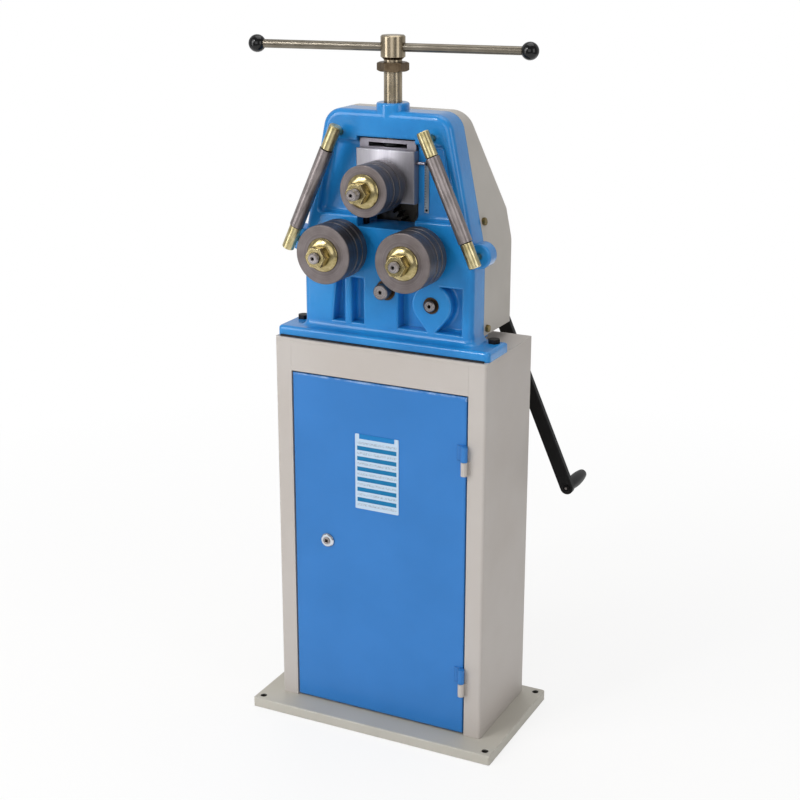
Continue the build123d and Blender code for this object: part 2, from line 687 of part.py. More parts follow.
def make_casting():
    body = slab(head_outline(0, stand_top + flange_thickness / 2), casting_front, cover_front)
    rim = body.faces().sort_by(Axis.Y)[0].edges().sort_by(Axis.Z)[1:]
    body = fillet(rim, casting_edge_radius)
    body += slab(head_outline(cover_wall + seat_fit, flange_top), cover_front - 1, casting_back)
    foot = Pos(0, (flange_front + flange_back) / 2) * Rectangle(2 * flange_half, flange_depth)
    foot = fillet(foot.vertices().sort_by(Axis.Y)[:2], flange_corner_radius)
    foot = Pos(0, 0, stand_top) * extrude(foot, amount=flange_thickness)
    foot = fillet(foot.faces().sort_by(Axis.Z)[-1].edges(), flange_edge_radius)
    body += foot
    level = [edge for edge in body.edges() if abs(edge.center().Z - flange_top) < 0.1]
    roots = [edge for edge in level if abs(edge.center().X) < casting_half + 1
             and flange_front + flange_edge_radius + 1 < edge.center().Y < cover_front]
    body = fillet(roots, casting_root_radius)
    ear = rod(ear_x, guide_bottom_z, 2 * ear_radius, casting_front, casting_front + ear_thickness)
    ear = fillet(ear.faces().sort_by(Axis.Y)[0].edges(), boss_edge)
    body += ear
    body += mirrored(ear)
    boss_foot = casting_top - casting_edge_radius
    boss = post(0, screw_y, screw_boss_diameter, boss_foot, boss_top)
    boss = fillet(boss.faces().sort_by(Axis.Z)[-1].edges(), boss_edge)
    boss -= block(-screw_boss_diameter, screw_boss_diameter, cover_front,
                  casting_back + screw_boss_diameter, boss_foot - 1, casting_top)
    body += boss
    body = sunk(body, [web_recesses()], recess_edge_radius)
    body = sunk(body, front_pockets(), pocket_edge_radius)
    body -= casting_hollow()
    body -= block(-window_half, window_half, casting_front - 1, casting_back + 1,
                  window_bottom, window_top)
    keyway = key_depth + seat_fit
    key_half = key_width / 2 + seat_fit
    body -= block(-window_half - keyway, window_half + keyway, screw_y - key_half, screw_y + key_half,
                  window_bottom, window_top)
    for x, z, diameter in bores:
        body -= rod(x, z, diameter + 2 * (bush_wall + seat_fit), casting_front - 1, casting_back + 1)
    for x, z in pillar_spots:
        body -= rod(x, z, pillar_tenon_diameter + 2 * seat_fit, casting_back - pillar_root, casting_back + 1)
    for x, z in stud_spots:
        body -= rod(x, z, guide_stud_diameter + 2 * seat_fit, casting_front - 1,
                    casting_front + guide_stud_depth)
    body -= post(0, screw_y, nut_diameter + 2 * seat_fit, window_top - 1, casting_top)
    body -= post(0, screw_y, nut_flange_diameter + 2 * seat_fit, window_top - 1,
                 window_top + screw_nut_flange)
    body -= post(0, screw_y, screw_diameter + 2 * thrust_gap, casting_top - 1, boss_top + 1)
    for side in (-1, 1):
        body -= post(side * head_bolt_x, head_bolt_y, head_bolt_diameter + 2 * seat_fit,
                     stand_top - 1, flange_top + 1)
    for place in (upper_screw_place, lower_screw_place):
        hole = place * screw_shank(cover_screw_diameter + 2 * seat_fit, cover_screw_depth)
        body -= hole
        body -= mirrored(hole)
    return body


parts["head_casting"] = make_casting()

# Hexagon bolts through the flange, with their nuts under the stand top
bolts = []
for side in (-1, 1):
    bolt = Pos(0, 0, flange_top) * hex_cap(head_bolt_flats, head_bolt_head)
    bolt += post(0, 0, head_bolt_diameter, panel_top - head_bolt_reach, flange_top)
    nut = Pos(0, 0, panel_top) * Rot(180, 0, 0) * hex_cap(head_bolt_flats, head_bolt_head)
    nut -= post(0, 0, head_bolt_diameter + 2 * seat_fit, panel_top - 2 * head_bolt_head, panel_top + 1)
    bolts += [Pos(side * head_bolt_x, head_bolt_y, 0) * piece for piece in (bolt, nut)]
parts["head_bolts"] = Compound(bolts)


# Gear cover: a sheet shell with the casting's outline and a sloping back
def cover_form(inset, front, floor):
    form = slab(head_outline(inset, floor), front, cover_back - inset)
    slope_foot = roll_z + cover_slope_start
    slope_angle = atan2(cover_depth - cover_top_depth, casting_top - slope_foot)
    drop = inset * tan((pi / 2 - slope_angle) / 2)
    profile = Polygon((front - 1, floor - 1), (cover_back - inset, floor - 1),
                      (cover_back - inset, slope_foot - inset * tan(slope_angle / 2)),
                      (cover_front + cover_top_depth - drop - inset, casting_top - inset),
                      (front - 1, casting_top - inset), align=None)
    form &= extrude(Plane.YZ * profile, amount=2 * casting_half, both=True)
    back_faces = [face for face in form.faces() if face.normal_at().Y > 0.2]
    back_edges = [edge for face in back_faces for edge in face.edges()
                  if edge.center().Z > floor + 1]
    return form, back_edges


def make_cover():
    outer, outer_edges = cover_form(0, cover_front, cover_floor)
    inner, inner_edges = cover_form(cover_wall, cover_front - 1, cover_floor - 1)
    outer = fillet(ShapeList(set(outer_edges)), cover_edge_radius)
    inner = fillet(ShapeList(set(inner_edges)), cover_edge_radius - cover_wall)
    shell = outer - inner
    shell -= rod(crank_x, crank_z, bearing_boss_diameter + 2 * thrust_gap, cover_back - 2 * cover_wall,
                 cover_back + 1)
    for place in (upper_screw_place, lower_screw_place):
        hole = place * screw_shank(cover_screw_diameter + 2 * seat_fit, cover_screw_depth)
        shell -= hole
        shell -= mirrored(hole)
    return shell


bearing_boss_diameter = crank_shaft_diameter + 2 * (bush_wall + bearing_boss_wall)
parts["gear_cover"] = make_cover()

cover_screws = []
for place in (upper_screw_place, lower_screw_place):
    screw = hex_cap(cover_screw_flats, cover_screw_head)
    screw += screw_shank(cover_screw_diameter, cover_screw_depth - 1)
    screw = place * screw
    cover_screws += [screw, mirrored(screw)]
parts["cover_screws"] = Compound(cover_screws)

# Bushes: two for each shaft in the casting, and those of the rear bearing plate
bushes = []
for x, z, diameter in bores:
    for y in (casting_front, casting_back - bush_length):
        bushes.append(tube(x, z, diameter + 2 * bush_wall, diameter + 2 * running_fit, y, y + bush_length))
for x, z, diameter, y in ((0, intermediate_z, plate_journal_diameter, plate_y),
                          (crank_x, crank_z, crank_shaft_diameter, plate_y),
                          (crank_x, crank_z, crank_shaft_diameter, bearing_end - plate_bush_length)):
    bushes.append(tube(x, z, diameter + 2 * bush_wall, diameter + 2 * running_fit,
                       y, y + plate_bush_length))
parts["shaft_bushes"] = Compound(bushes)

# Rear bearing plate on four pillars, with the crank's bearing boss through the cover
plate_low = pillar_low - plate_margin
plate_high = intermediate_z + plate_journal_diameter / 2 + bush_wall + plate_margin
plate_sketch = Pos((pillar_left + pillar_right) / 2, (plate_low + plate_high) / 2) * RectangleRounded(
    pillar_right - pillar_left + 2 * plate_margin, plate_high - plate_low, plate_corner_radius)
bearing_plate = slab(plate_sketch, plate_y, plate_back)
bearing_plate += rod(crank_x, crank_z, bearing_boss_diameter, plate_back, bearing_end)
bearing_plate -= rod(crank_x, crank_z, crank_shaft_diameter + 2 * (bush_wall + seat_fit),
                     plate_y - 1, bearing_end + 1)
bearing_plate -= rod(0, intermediate_z, plate_journal_diameter + 2 * (bush_wall + seat_fit),
                     plate_y - 1, plate_back + 1)
for x, z in pillar_spots:
    bearing_plate -= rod(x, z, pillar_tenon_diameter + 2 * seat_fit, plate_y - 1, plate_back + 1)
parts["bearing_plate"] = bearing_plate
parts["plate_pillars"] = Compound([
    rod(x, z, pillar_diameter, casting_back, plate_y)
    + rod(x, z, pillar_tenon_diameter, casting_back - pillar_root, plate_back)
    for x, z in pillar_spots])


# Roll sets: discs with a hub step behind them, so that a groove stays between two discs
def roll_discs(x, z, diameter, front, widths):
    discs = []
    y = front
    for number, width in enumerate(widths):
        rim = diameter / 2
        bore = roll_seat_diameter / 2 + seat_fit
        outline = [(bore, y), (rim - disc_edge, y), (rim, y + disc_edge),
                   (rim, y + width - disc_edge), (rim - disc_edge, y + width)]
        step = y + width
        if number < len(widths) - 1:
            step += disc_groove_width
            outline.append((rim - disc_groove_depth, y + width))
            outline.append((rim - disc_groove_depth, step))
        outline.append((bore, step))
        discs.append(turned_y(x, z, outline))
        y = step
    return Compound(discs)


def stack_length(widths):
    return sum(widths) + disc_groove_width * (len(widths) - 1)


def roll_washer(x, z, face):
    # Domed washer against the front disc
    bore = nut_thread_diameter / 2 + seat_fit
    rim = washer_diameter / 2
    land = washer_land_diameter / 2
    edge = [(bore, face), (rim, face), (rim, face - washer_rim)]
    dome = ThreePointArc((x + rim, face - washer_rim, z),
                         (x + (rim + land) / 2, face - washer_crown, z),
                         (x + land, face - washer_height, z))
    start = Polyline(*[(x + radius, y, z) for radius, y in edge])
    close = Polyline((x + land, face - washer_height, z), (x + bore, face - washer_height, z),
                     (x + bore, face, z))
    return revolve(make_face([start, dome, close]), Axis((x, 0, z), (0, 1, 0)))


def roll_nut(x, z, face):
    nut = hex_cap(roll_nut_flats, roll_nut_height)
    nut -= post(0, 0, nut_thread_diameter + 2 * seat_fit, -1, roll_nut_height + 1)
    return facing_front(nut, x, face - washer_height, z)


def roll_shaft(x, z, face, length, collar_length, thread_length, journal_end, tail_diameter, tail_end):
    # From the threaded front end through the disc seat, the collar and the journal to the tail
    thread = nut_thread_diameter / 2
    seat = roll_seat_diameter / 2
    collar = roll_collar_diameter / 2
    journal = roll_journal_diameter / 2
    tail = tail_diameter / 2
    stack_back = face + length
    shaft = turned_y(x, z, [
        (0, face - thread_length), (thread - shaft_chamfer, face - thread_length),
        (thread, face - thread_length + shaft_chamfer), (thread, face + 1), (seat, face + 1),
        (seat, stack_back), (collar, stack_back), (collar, stack_back + collar_length),
        (journal, stack_back + collar_length), (journal, journal_end), (tail, journal_end),
        (tail, tail_end), (0, tail_end)])
    return shaft - centre_drill(x, z, face - thread_length)


lower_widths = (lower_front_disc, lower_rear_disc, lower_rear_disc)
lower_stack = stack_length(lower_widths)
lower_face = casting_front - thrust_gap - roll_collar_length - lower_stack
hub_front = casting_back + thrust_gap
roll_gear_back = roll_gear_y + roll_gear_face
gear_seat_diameter = roll_journal_diameter - 2 * gear_seat_step
pinion_phase = 90
for name, x in (("left", -roll_x), ("right", roll_x)):
    direction = degrees(atan2(roll_z - intermediate_z, x))
    phase = meshing_phase(pinion_phase, roll_pinion_teeth, roll_gear_teeth, direction)
    bore = gear_seat_diameter + 2 * seat_fit
    wheel = gear(x, roll_z, roll_module, roll_gear_teeth, phase, bore, roll_gear_y, roll_gear_back)
    wheel += tube(x, roll_z, bore + 2 * gear_hub_wall, bore, hub_front, roll_gear_y)
    parts[f"{name}_roll_gear"] = wheel
    parts[f"{name}_roll_shaft"] = roll_shaft(
        x, roll_z, lower_face, lower_stack, roll_collar_length, nut_thread_length, hub_front,
        gear_seat_diameter, roll_gear_back + shaft_tail)
    parts[f"{name}_rolls"] = roll_discs(x, roll_z, lower_roll_diameter, lower_face, lower_widths)
    parts[f"{name}_washer"] = roll_washer(x, roll_z, lower_face)
    parts[f"{name}_nut"] = roll_nut(x, roll_z, lower_face)

# Intermediate shaft: its pinion drives both roll gears, its gear is driven from the crank
crank_gear_back = crank_gear_y + crank_gear_face
inner_seat = intermediate_diameter - 2 * gear_seat_step
seat_bore = inner_seat + 2 * seat_fit
nose = casting_front - intermediate_nose
intermediate_shaft = turned_y(0, intermediate_z, [
    (0, nose), (intermediate_diameter / 2 - shaft_chamfer, nose),
    (intermediate_diameter / 2, nose + shaft_chamfer), (intermediate_diameter / 2, hub_front),
    (inner_seat / 2, hub_front), (inner_seat / 2, crank_gear_back + plate_gap / 2),
    (plate_journal_diameter / 2, crank_gear_back + plate_gap / 2), (plate_journal_diameter / 2, plate_back),
    (0, plate_back)])
parts["intermediate_shaft"] = intermediate_shaft - centre_drill(0, intermediate_z, nose)
pinion = gear(0, intermediate_z, roll_module, roll_pinion_teeth, pinion_phase, seat_bore,
              roll_gear_y, roll_gear_back)
pinion += tube(0, intermediate_z, seat_bore + 2 * gear_hub_wall, seat_bore, hub_front, roll_gear_y)
parts["intermediate_pinion"] = pinion
wheel = gear(0, intermediate_z, crank_gear_module, crank_gear_teeth, pinion_phase, seat_bore,
             crank_gear_y, crank_gear_back)
wheel += tube(0, intermediate_z, seat_bore + 2 * gear_hub_wall, seat_bore, roll_gear_back, crank_gear_y)
parts["intermediate_gear"] = wheel

# Crank shaft, its pinion and the crank at the back
nose = casting_front - crank_nose
hub_back = crank_y + crank_hub_length / 2
crank_radius = crank_shaft_diameter / 2
crank_shaft = turned_y(crank_x, crank_z, [
    (0, nose), (crank_radius - shaft_chamfer, nose), (crank_radius, nose + shaft_chamfer),
    (crank_radius, hub_back - thrust_gap), (0, hub_back - thrust_gap)])
crank_shaft -= centre_drill(crank_x, crank_z, nose)
crank_shaft -= rod(crank_x, crank_z, crank_bolt_diameter + 2 * seat_fit, hub_back - crank_bolt_depth,
                   hub_back + 1)
parts["crank_shaft"] = crank_shaft
phase = meshing_phase(pinion_phase, crank_gear_teeth, crank_pinion_teeth, -crank_side_angle)
bore = crank_shaft_diameter + 2 * seat_fit
crank_pinion = gear(crank_x, crank_z, crank_gear_module, crank_pinion_teeth, phase, bore,
                    crank_gear_y, crank_gear_back)
crank_pinion += tube(crank_x, crank_z, bore + gear_hub_wall, bore, hub_front, crank_gear_y)
parts["crank_pinion"] = crank_pinion


def on_crank(shape):
    # Places a piece drawn with the arm straight down and the shaft axis along Y
    return Pos(crank_x, 0, crank_z) * Rot(0, -crank_angle, 0) * shape


arm_front = crank_y - crank_arm_thickness / 2
arm_back = crank_y + crank_arm_thickness / 2
arm_sketch = Pos(0, -crank_length / 2) * Rot(0, 0, 90) * SlotCenterToCenter(crank_length, crank_arm_width)
arm = slab(arm_sketch, arm_front, arm_back)
arm = chamfer(arm.faces().filter_by(Axis.Y).edges(), crank_arm_edge)
arm += rod(0, 0, crank_hub_diameter, crank_y - crank_hub_length / 2, hub_back)
arm -= rod(0, 0, crank_shaft_diameter + 2 * seat_fit, crank_y - crank_hub_length, crank_y + crank_hub_length)
arm -= rod(0, -crank_length, grip_pin_diameter + 2 * seat_fit, arm_front - 1, arm_back + 1)
parts["crank_arm"] = on_crank(arm)
bolt = hex_cap(crank_bolt_flats, crank_bolt_head + crank_washer_height)
bolt += post(0, 0, crank_washer_diameter, 0, crank_washer_height)
bolt += post(0, 0, crank_bolt_diameter, -crank_bolt_depth + 1, 0)
parts["crank_bolt"] = Pos(crank_x, hub_back, crank_z) * Rot(-90, 0, 0) * bolt
grip_front = arm_back + grip_gap
grip_back = grip_front + grip_length
pin_end = grip_back + grip_gap
pin_head = grip_pin_head_diameter / 2
pin_radius = grip_pin_diameter / 2
grip_pin = turned_y(0, -crank_length, [
    (0, arm_front - grip_pin_head), (pin_head - 1, arm_front - grip_pin_head),
    (pin_head, arm_front - grip_pin_head + 1), (pin_head, arm_front), (pin_radius, arm_front),
    (pin_radius, pin_end), (pin_head, pin_end), (pin_head, pin_end + grip_pin_head - 1),
    (pin_head - 1, pin_end + grip_pin_head), (0, pin_end + grip_pin_head)])
parts["grip_pin"] = on_crank(grip_pin)
grip_bore = pin_radius + running_fit
grip_middle = (grip_front + grip_back) / 2
grip_side = ThreePointArc((grip_neck_diameter / 2, grip_front, -crank_length),
                          (grip_diameter / 2, grip_middle, -crank_length),
                          (grip_neck_diameter / 2, grip_back, -crank_length))
grip_rest = Polyline((grip_neck_diameter / 2, grip_back, -crank_length),
                     (grip_bore, grip_back, -crank_length), (grip_bore, grip_front, -crank_length),
                     (grip_neck_diameter / 2, grip_front, -crank_length))
grip = revolve(make_face([grip_side, grip_rest]), Axis((0, 0, -crank_length), (0, 1, 0)))
rims = [edge for edge in grip.edges().filter_by(GeomType.CIRCLE)
        if pin_head < edge.radius < grip_diameter]
grip = fillet(rims, grip_edge_radius)
parts["crank_grip"] = on_crank(grip)

# Slide block in the window, its bushes, the keeper on top and the depth pointer
slide = block(-slide_half, slide_half, slide_front, slide_back, slide_bottom, slide_top)
slide = chamfer(slide.faces().sort_by(Axis.Y)[0].edges(), slide_edge)
key_groove = block(slide_half - key_depth - slide_fit, slide_half + 1, screw_y - key_width / 2 - slide_fit,
                   screw_y + key_width / 2 + slide_fit, slide_bottom - 1, keeper_top + 1)
slide -= key_groove
slide -= mirrored(key_groove)
slide -= rod(0, top_z, roll_journal_diameter + 2 * (bush_wall + seat_fit), slide_front - 1, slide_back + 1)
pointer_root = slide_half - pointer_length / 2
pointer_tip = slide_half + pointer_length
pointer = Pos((pointer_root + pointer_tip) / 2, pointer_y, pointer_z) * Rot(0, 90, 0) * Cylinder(
    pointer_diameter / 2, pointer_tip - pointer_root)
slide -= Pos((pointer_root + pointer_tip) / 2, pointer_y, pointer_z) * Rot(0, 90, 0) * Cylinder(
    pointer_diameter / 2 + seat_fit, pointer_tip - pointer_root)
parts["slide_block"] = slide
parts["depth_pointer"] = chamfer(pointer.faces().sort_by(Axis.X)[-1].edges(), pointer_edge)
parts["slide_bushes"] = Compound([
    tube(0, top_z, roll_journal_diameter + 2 * bush_wall, roll_journal_diameter + 2 * running_fit,
         y, y + bush_length) for y in (slide_front, slide_back - bush_length)])
slot_foot = slide_top + keeper_floor
slot_top = slot_foot + keeper_slot_height
keeper = block(-slide_half + keeper_inset, slide_half - keeper_inset, keeper_front, slide_back,
               slide_top, keeper_top)
keeper -= block(-keeper_slot_width / 2, keeper_slot_width / 2, keeper_front - 1, slide_back + 1,
                slot_foot, slot_top)
keeper -= post(0, screw_y, screw_neck_diameter + 2 * running_fit, slot_top - 1, keeper_top + 1)
keeper -= key_groove
keeper -= mirrored(key_groove)
parts["screw_keeper"] = keeper
key = block(slide_half - key_depth, window_half + key_depth, screw_y - key_width / 2,
            screw_y + key_width / 2, window_bottom, window_top)
parts["guide_keys"] = both_sides(key)
web_face = casting_front + web_recess
scale_x = slide_half + scale_offset
scale_middle = top_z - scale_drop
parts["depth_scale"] = block(scale_x, scale_x + scale_width, web_face - scale_thickness, web_face,
                             scale_middle - scale_length / 2, scale_middle + scale_length / 2)

# Top roll on its own shaft in the slide
top_widths = (top_front_disc, top_rear_disc, top_rear_disc)
top_stack = stack_length(top_widths)
top_face = slide_front - thrust_gap - top_flange_length - top_stack
collar_front = slide_back + thrust_gap
collar_back = collar_front + top_collar_length
parts["top_shaft"] = roll_shaft(0, top_z, top_face, top_stack, top_flange_length, top_thread_length,
                                collar_front, roll_seat_diameter, collar_back)
parts["top_rolls"] = roll_discs(0, top_z, top_roll_diameter, top_face, top_widths)
parts["top_washer"] = roll_washer(0, top_z, top_face)
parts["top_nut"] = roll_nut(0, top_z, top_face)
parts["top_collar"] = tube(0, top_z, top_collar_diameter, roll_seat_diameter + 2 * seat_fit,
                           collar_front, collar_back)

# Feed screw in its nut, with the collar that lifts the slide and the lock nut
nut_outline = [(screw_diameter / 2 + running_fit, window_top), (nut_flange_diameter / 2, window_top),
               (nut_flange_diameter / 2, window_top + screw_nut_flange),
               (nut_diameter / 2, window_top + screw_nut_flange), (nut_diameter / 2, casting_top),
               (screw_diameter / 2 + running_fit, casting_top)]
parts["screw_nut"] = turned_z(0, screw_y, nut_outline)
neck = screw_neck_diameter / 2
shank = screw_diameter / 2
head_radius = screw_head_diameter / 2
screw_head_top = screw_head_z + screw_head_height
collar_top = slot_top - thrust_gap
screw_foot = collar_top - screw_collar_height
screw = turned_z(0, screw_y, [
    (0, screw_foot), (neck, screw_foot), (neck, keeper_top + running_fit), (shank, keeper_top + running_fit),
    (shank, screw_head_z), (head_radius, screw_head_z + screw_head_chamfer),
    (head_radius, screw_head_top - screw_head_chamfer / 2),
    (head_radius - screw_head_chamfer / 2, screw_head_top), (0, screw_head_top)])


def on_screw(shape):
    # Places a piece drawn round the cross hole with the bar along X
    return Pos(0, screw_y, tommy_z) * Rot(0, 0, tommy_angle) * shape


screw -= on_screw(Rot(0, 90, 0) * Cylinder(tommy_diameter / 2 + running_fit, 2 * screw_head_diameter))
parts["feed_screw"] = screw
parts["screw_collar"] = turned_z(0, screw_y, [
    (neck + seat_fit, screw_foot), (screw_collar_diameter / 2, screw_foot),
    (screw_collar_diameter / 2, collar_top), (neck + seat_fit, collar_top)])
lock_nut = hex_cap(lock_nut_flats, lock_nut_height)
lock_nut &= Pos(0, 0, lock_nut_height) * Rot(180, 0, 0) * lock_nut
lock_nut -= post(0, 0, screw_diameter + 2 * seat_fit, -1, lock_nut_height + 1)
parts["screw_lock_nut"] = Pos(0, screw_y, lock_nut_z) * Rot(0, 0, lock_nut_turn) * lock_nut

# Tommy bar through the screw head, with a ball knob screwed on each end
ball_radius = ball_diameter / 2
ball_flat = sqrt(ball_radius ** 2 - (tommy_diameter / 2) ** 2)
bar_left = -tommy_left + ball_flat
bar_right = tommy_right - ball_flat
bar_length = bar_right - bar_left
bar = Cylinder(tommy_diameter / 2, bar_length)
bar += Cylinder(ball_thread_diameter / 2, bar_length + 2 * ball_thread_length)
bar = Pos((bar_left + bar_right) / 2, 0, 0) * Rot(0, 90, 0) * bar
parts["tommy_bar"] = on_screw(bar)
balls = []
for middle, side in ((-tommy_left, -1), (tommy_right, 1)):
    ball = Sphere(ball_radius)
    ball &= block(-ball_flat, ball_diameter, -ball_diameter, ball_diameter, -ball_diameter, ball_diameter)
    ball -= Pos(-ball_flat, 0, 0) * Rot(0, 90, 0) * Cylinder(
        ball_thread_diameter / 2 + seat_fit, 2 * (ball_thread_length + thrust_gap))
    balls.append(on_screw(Pos(middle, 0, 0) * Rot(0, 0, 0 if side > 0 else 180) * ball))
parts["ball_knobs"] = Compound(balls)


# Guide rollers: a sleeve turning on two end blocks, each held by a stud in the casting
def on_guide(shape):
    # Places a piece drawn along Z, with the upper stud at the origin and the lower one below it
    return Pos(guide_top_x, guide_y, guide_top_z) * Rot(0, -guide_tilt, 0) * shape


block_inside = guide_block_length - guide_block_end
stud_reach = guide_block_diameter / 2 - guide_stud_cover
blocks = []
studs = []
for stud_z, away, x, z in ((0, 1, guide_top_x, guide_top_z), (-guide_span, -1, ear_x, guide_bottom_z)):
    end = stud_z + away * guide_block_end
    inside = stud_z - away * block_inside
    tip = inside - away * guide_journal_length
    end_block = post(0, 0, guide_block_diameter, min(end, inside), max(end, inside))
    end_block = chamfer(end_block.edges(), guide_block_edge)
    end_block += post(0, 0, guide_journal_diameter, min(inside, tip), max(inside, tip))
    end_block = on_guide(end_block)
    end_block -= rod(x, z, guide_stud_diameter + 2 * seat_fit, guide_y - stud_reach, casting_front)
    blocks += [end_block, mirrored(end_block)]
    stud = rod(x, z, guide_stud_diameter, guide_y - stud_reach + seat_fit,
               casting_front + guide_stud_depth - seat_fit)
    studs += [stud, mirrored(stud)]
parts["guide_end_blocks"] = Compound(blocks)
parts["guide_studs"] = Compound(studs)
sleeve_top = -block_inside - guide_end_gap
sleeve_foot = -guide_span + block_inside + guide_end_gap
sleeve = post(0, 0, guide_sleeve_diameter, sleeve_foot, sleeve_top)
sleeve -= post(0, 0, guide_journal_diameter + 2 * running_fit, sleeve_foot - 1, sleeve_top + 1)
parts["right_guide_sleeve"] = on_guide(sleeve)
parts["left_guide_sleeve"] = mirrored(on_guide(sleeve))

os.makedirs("parts", exist_ok=True)
for name, shape in parts.items():
    export_step(shape, f"parts/{name}.step")
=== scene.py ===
import math
import bpy
from mathutils import Matrix, Vector


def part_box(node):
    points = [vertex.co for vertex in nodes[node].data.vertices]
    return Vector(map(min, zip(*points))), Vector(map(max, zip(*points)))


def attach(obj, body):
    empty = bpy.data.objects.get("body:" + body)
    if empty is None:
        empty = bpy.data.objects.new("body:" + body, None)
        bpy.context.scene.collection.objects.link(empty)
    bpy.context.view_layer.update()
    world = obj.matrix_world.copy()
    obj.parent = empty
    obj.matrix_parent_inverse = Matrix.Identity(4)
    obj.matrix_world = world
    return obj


# Hand-cranked three-roll bender on a cabinet stand. The metal comes from the frame; here it gets
# its paint, plating and machining marks, the threads that show, and the small fittings.

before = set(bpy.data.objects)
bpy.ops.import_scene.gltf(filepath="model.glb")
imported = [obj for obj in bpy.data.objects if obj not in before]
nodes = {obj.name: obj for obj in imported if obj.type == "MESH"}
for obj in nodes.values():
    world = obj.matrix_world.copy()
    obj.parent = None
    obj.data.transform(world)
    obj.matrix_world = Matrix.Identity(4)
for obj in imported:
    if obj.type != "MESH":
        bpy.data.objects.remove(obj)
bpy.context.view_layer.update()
mm = 0.001


# Helpers

def linear(hexColour):
    # sRGB hex as painted or plated, turned into the linear colour that the shader wants
    parts = [int(hexColour[i:i + 2], 16) / 255 for i in (1, 3, 5)]
    return tuple(c / 12.92 if c <= 0.04045 else ((c + 0.055) / 1.055) ** 2.4 for c in parts) + (1.0,)


def perMetre(sizeMm):
    # Texture scale whose features are about this many millimetres across
    return 1.0 / (sizeMm * mm)


def addNode(tree, kind, values=None, links=None, **settings):
    node = tree.nodes.new(kind)
    for name, value in settings.items():
        setattr(node, name, value)
    for socket, value in (values or {}).items():
        node.inputs[socket].default_value = value
    for socket, source in (links or {}).items():
        tree.links.new(source, node.inputs[socket])
    return node


def newMaterial(name):
    material = bpy.data.materials.new(name)
    material.use_nodes = True
    tree = material.node_tree
    shader = tree.nodes["Principled BSDF"]
    coords = addNode(tree, "ShaderNodeTexCoord")
    return material, tree, shader, coords


def dress(material, *names):
    # Puts the finish on whole CAD nodes
    for name in names:
        for slot in nodes[name].material_slots:
            slot.material = material


def deselectAll():
    if bpy.context.object and bpy.context.object.mode != "OBJECT":
        bpy.ops.object.mode_set(mode="OBJECT")
    bpy.ops.object.select_all(action="DESELECT")


def middle(name):
    low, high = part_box(name)
    return (low + high) / 2


def around(value, spread):
    # Map Range output that wanders this far to both sides of a value
    return {"To Min": value - spread, "To Max": value + spread}


def roundedEdge(tree, radiusMm, samples):
    # The normal as if the edges were rounded, and how far it agrees with the flat one
    rounded = addNode(tree, "ShaderNodeBevel", {"Radius": radiusMm * mm}, samples=samples)
    surface = addNode(tree, "ShaderNodeNewGeometry")
    same = addNode(tree, "ShaderNodeVectorMath", operation="DOT_PRODUCT",
                   links={0: rounded.outputs["Normal"], 1: surface.outputs["Normal"]})
    return rounded.outputs["Normal"], same.outputs["Value"]


def bevelWhere(piece, chosen, offset, segments):
    # Bevels the edges whose two ends pass the test
    bpy.ops.object.mode_set(mode="EDIT")
    bpy.ops.mesh.select_all(action="DESELECT")
    bpy.ops.object.mode_set(mode="OBJECT")
    for edge in piece.data.edges:
        edge.select = all(chosen(piece.data.vertices[i].co) for i in edge.vertices)
    bpy.ops.object.mode_set(mode="EDIT")
    bpy.ops.mesh.select_mode(type="EDGE")
    bpy.ops.mesh.bevel(offset=offset, segments=segments)
    bpy.ops.object.mode_set(mode="OBJECT")


# Painted surfaces

paintSpans = {
    "drift": {"From Min": 0.35, "From Max": 0.65},     # noise that carries the colour's whole drift
    "hollow": {"From Min": 0.95, "From Max": 0.4},     # openness where the painted shade starts and where it is full
    "edge": {"From Min": 0.985, "From Max": 0.87},     # agreement of the normals where an edge pales
    "chips": {"From Min": 0.42, "From Max": 0.62},     # noise that breaks the pale edge into lengths
    "gloss": 0.05,                                     # how far the roughness wanders
    "samples": {"hollow": 8, "edge": 6},
}


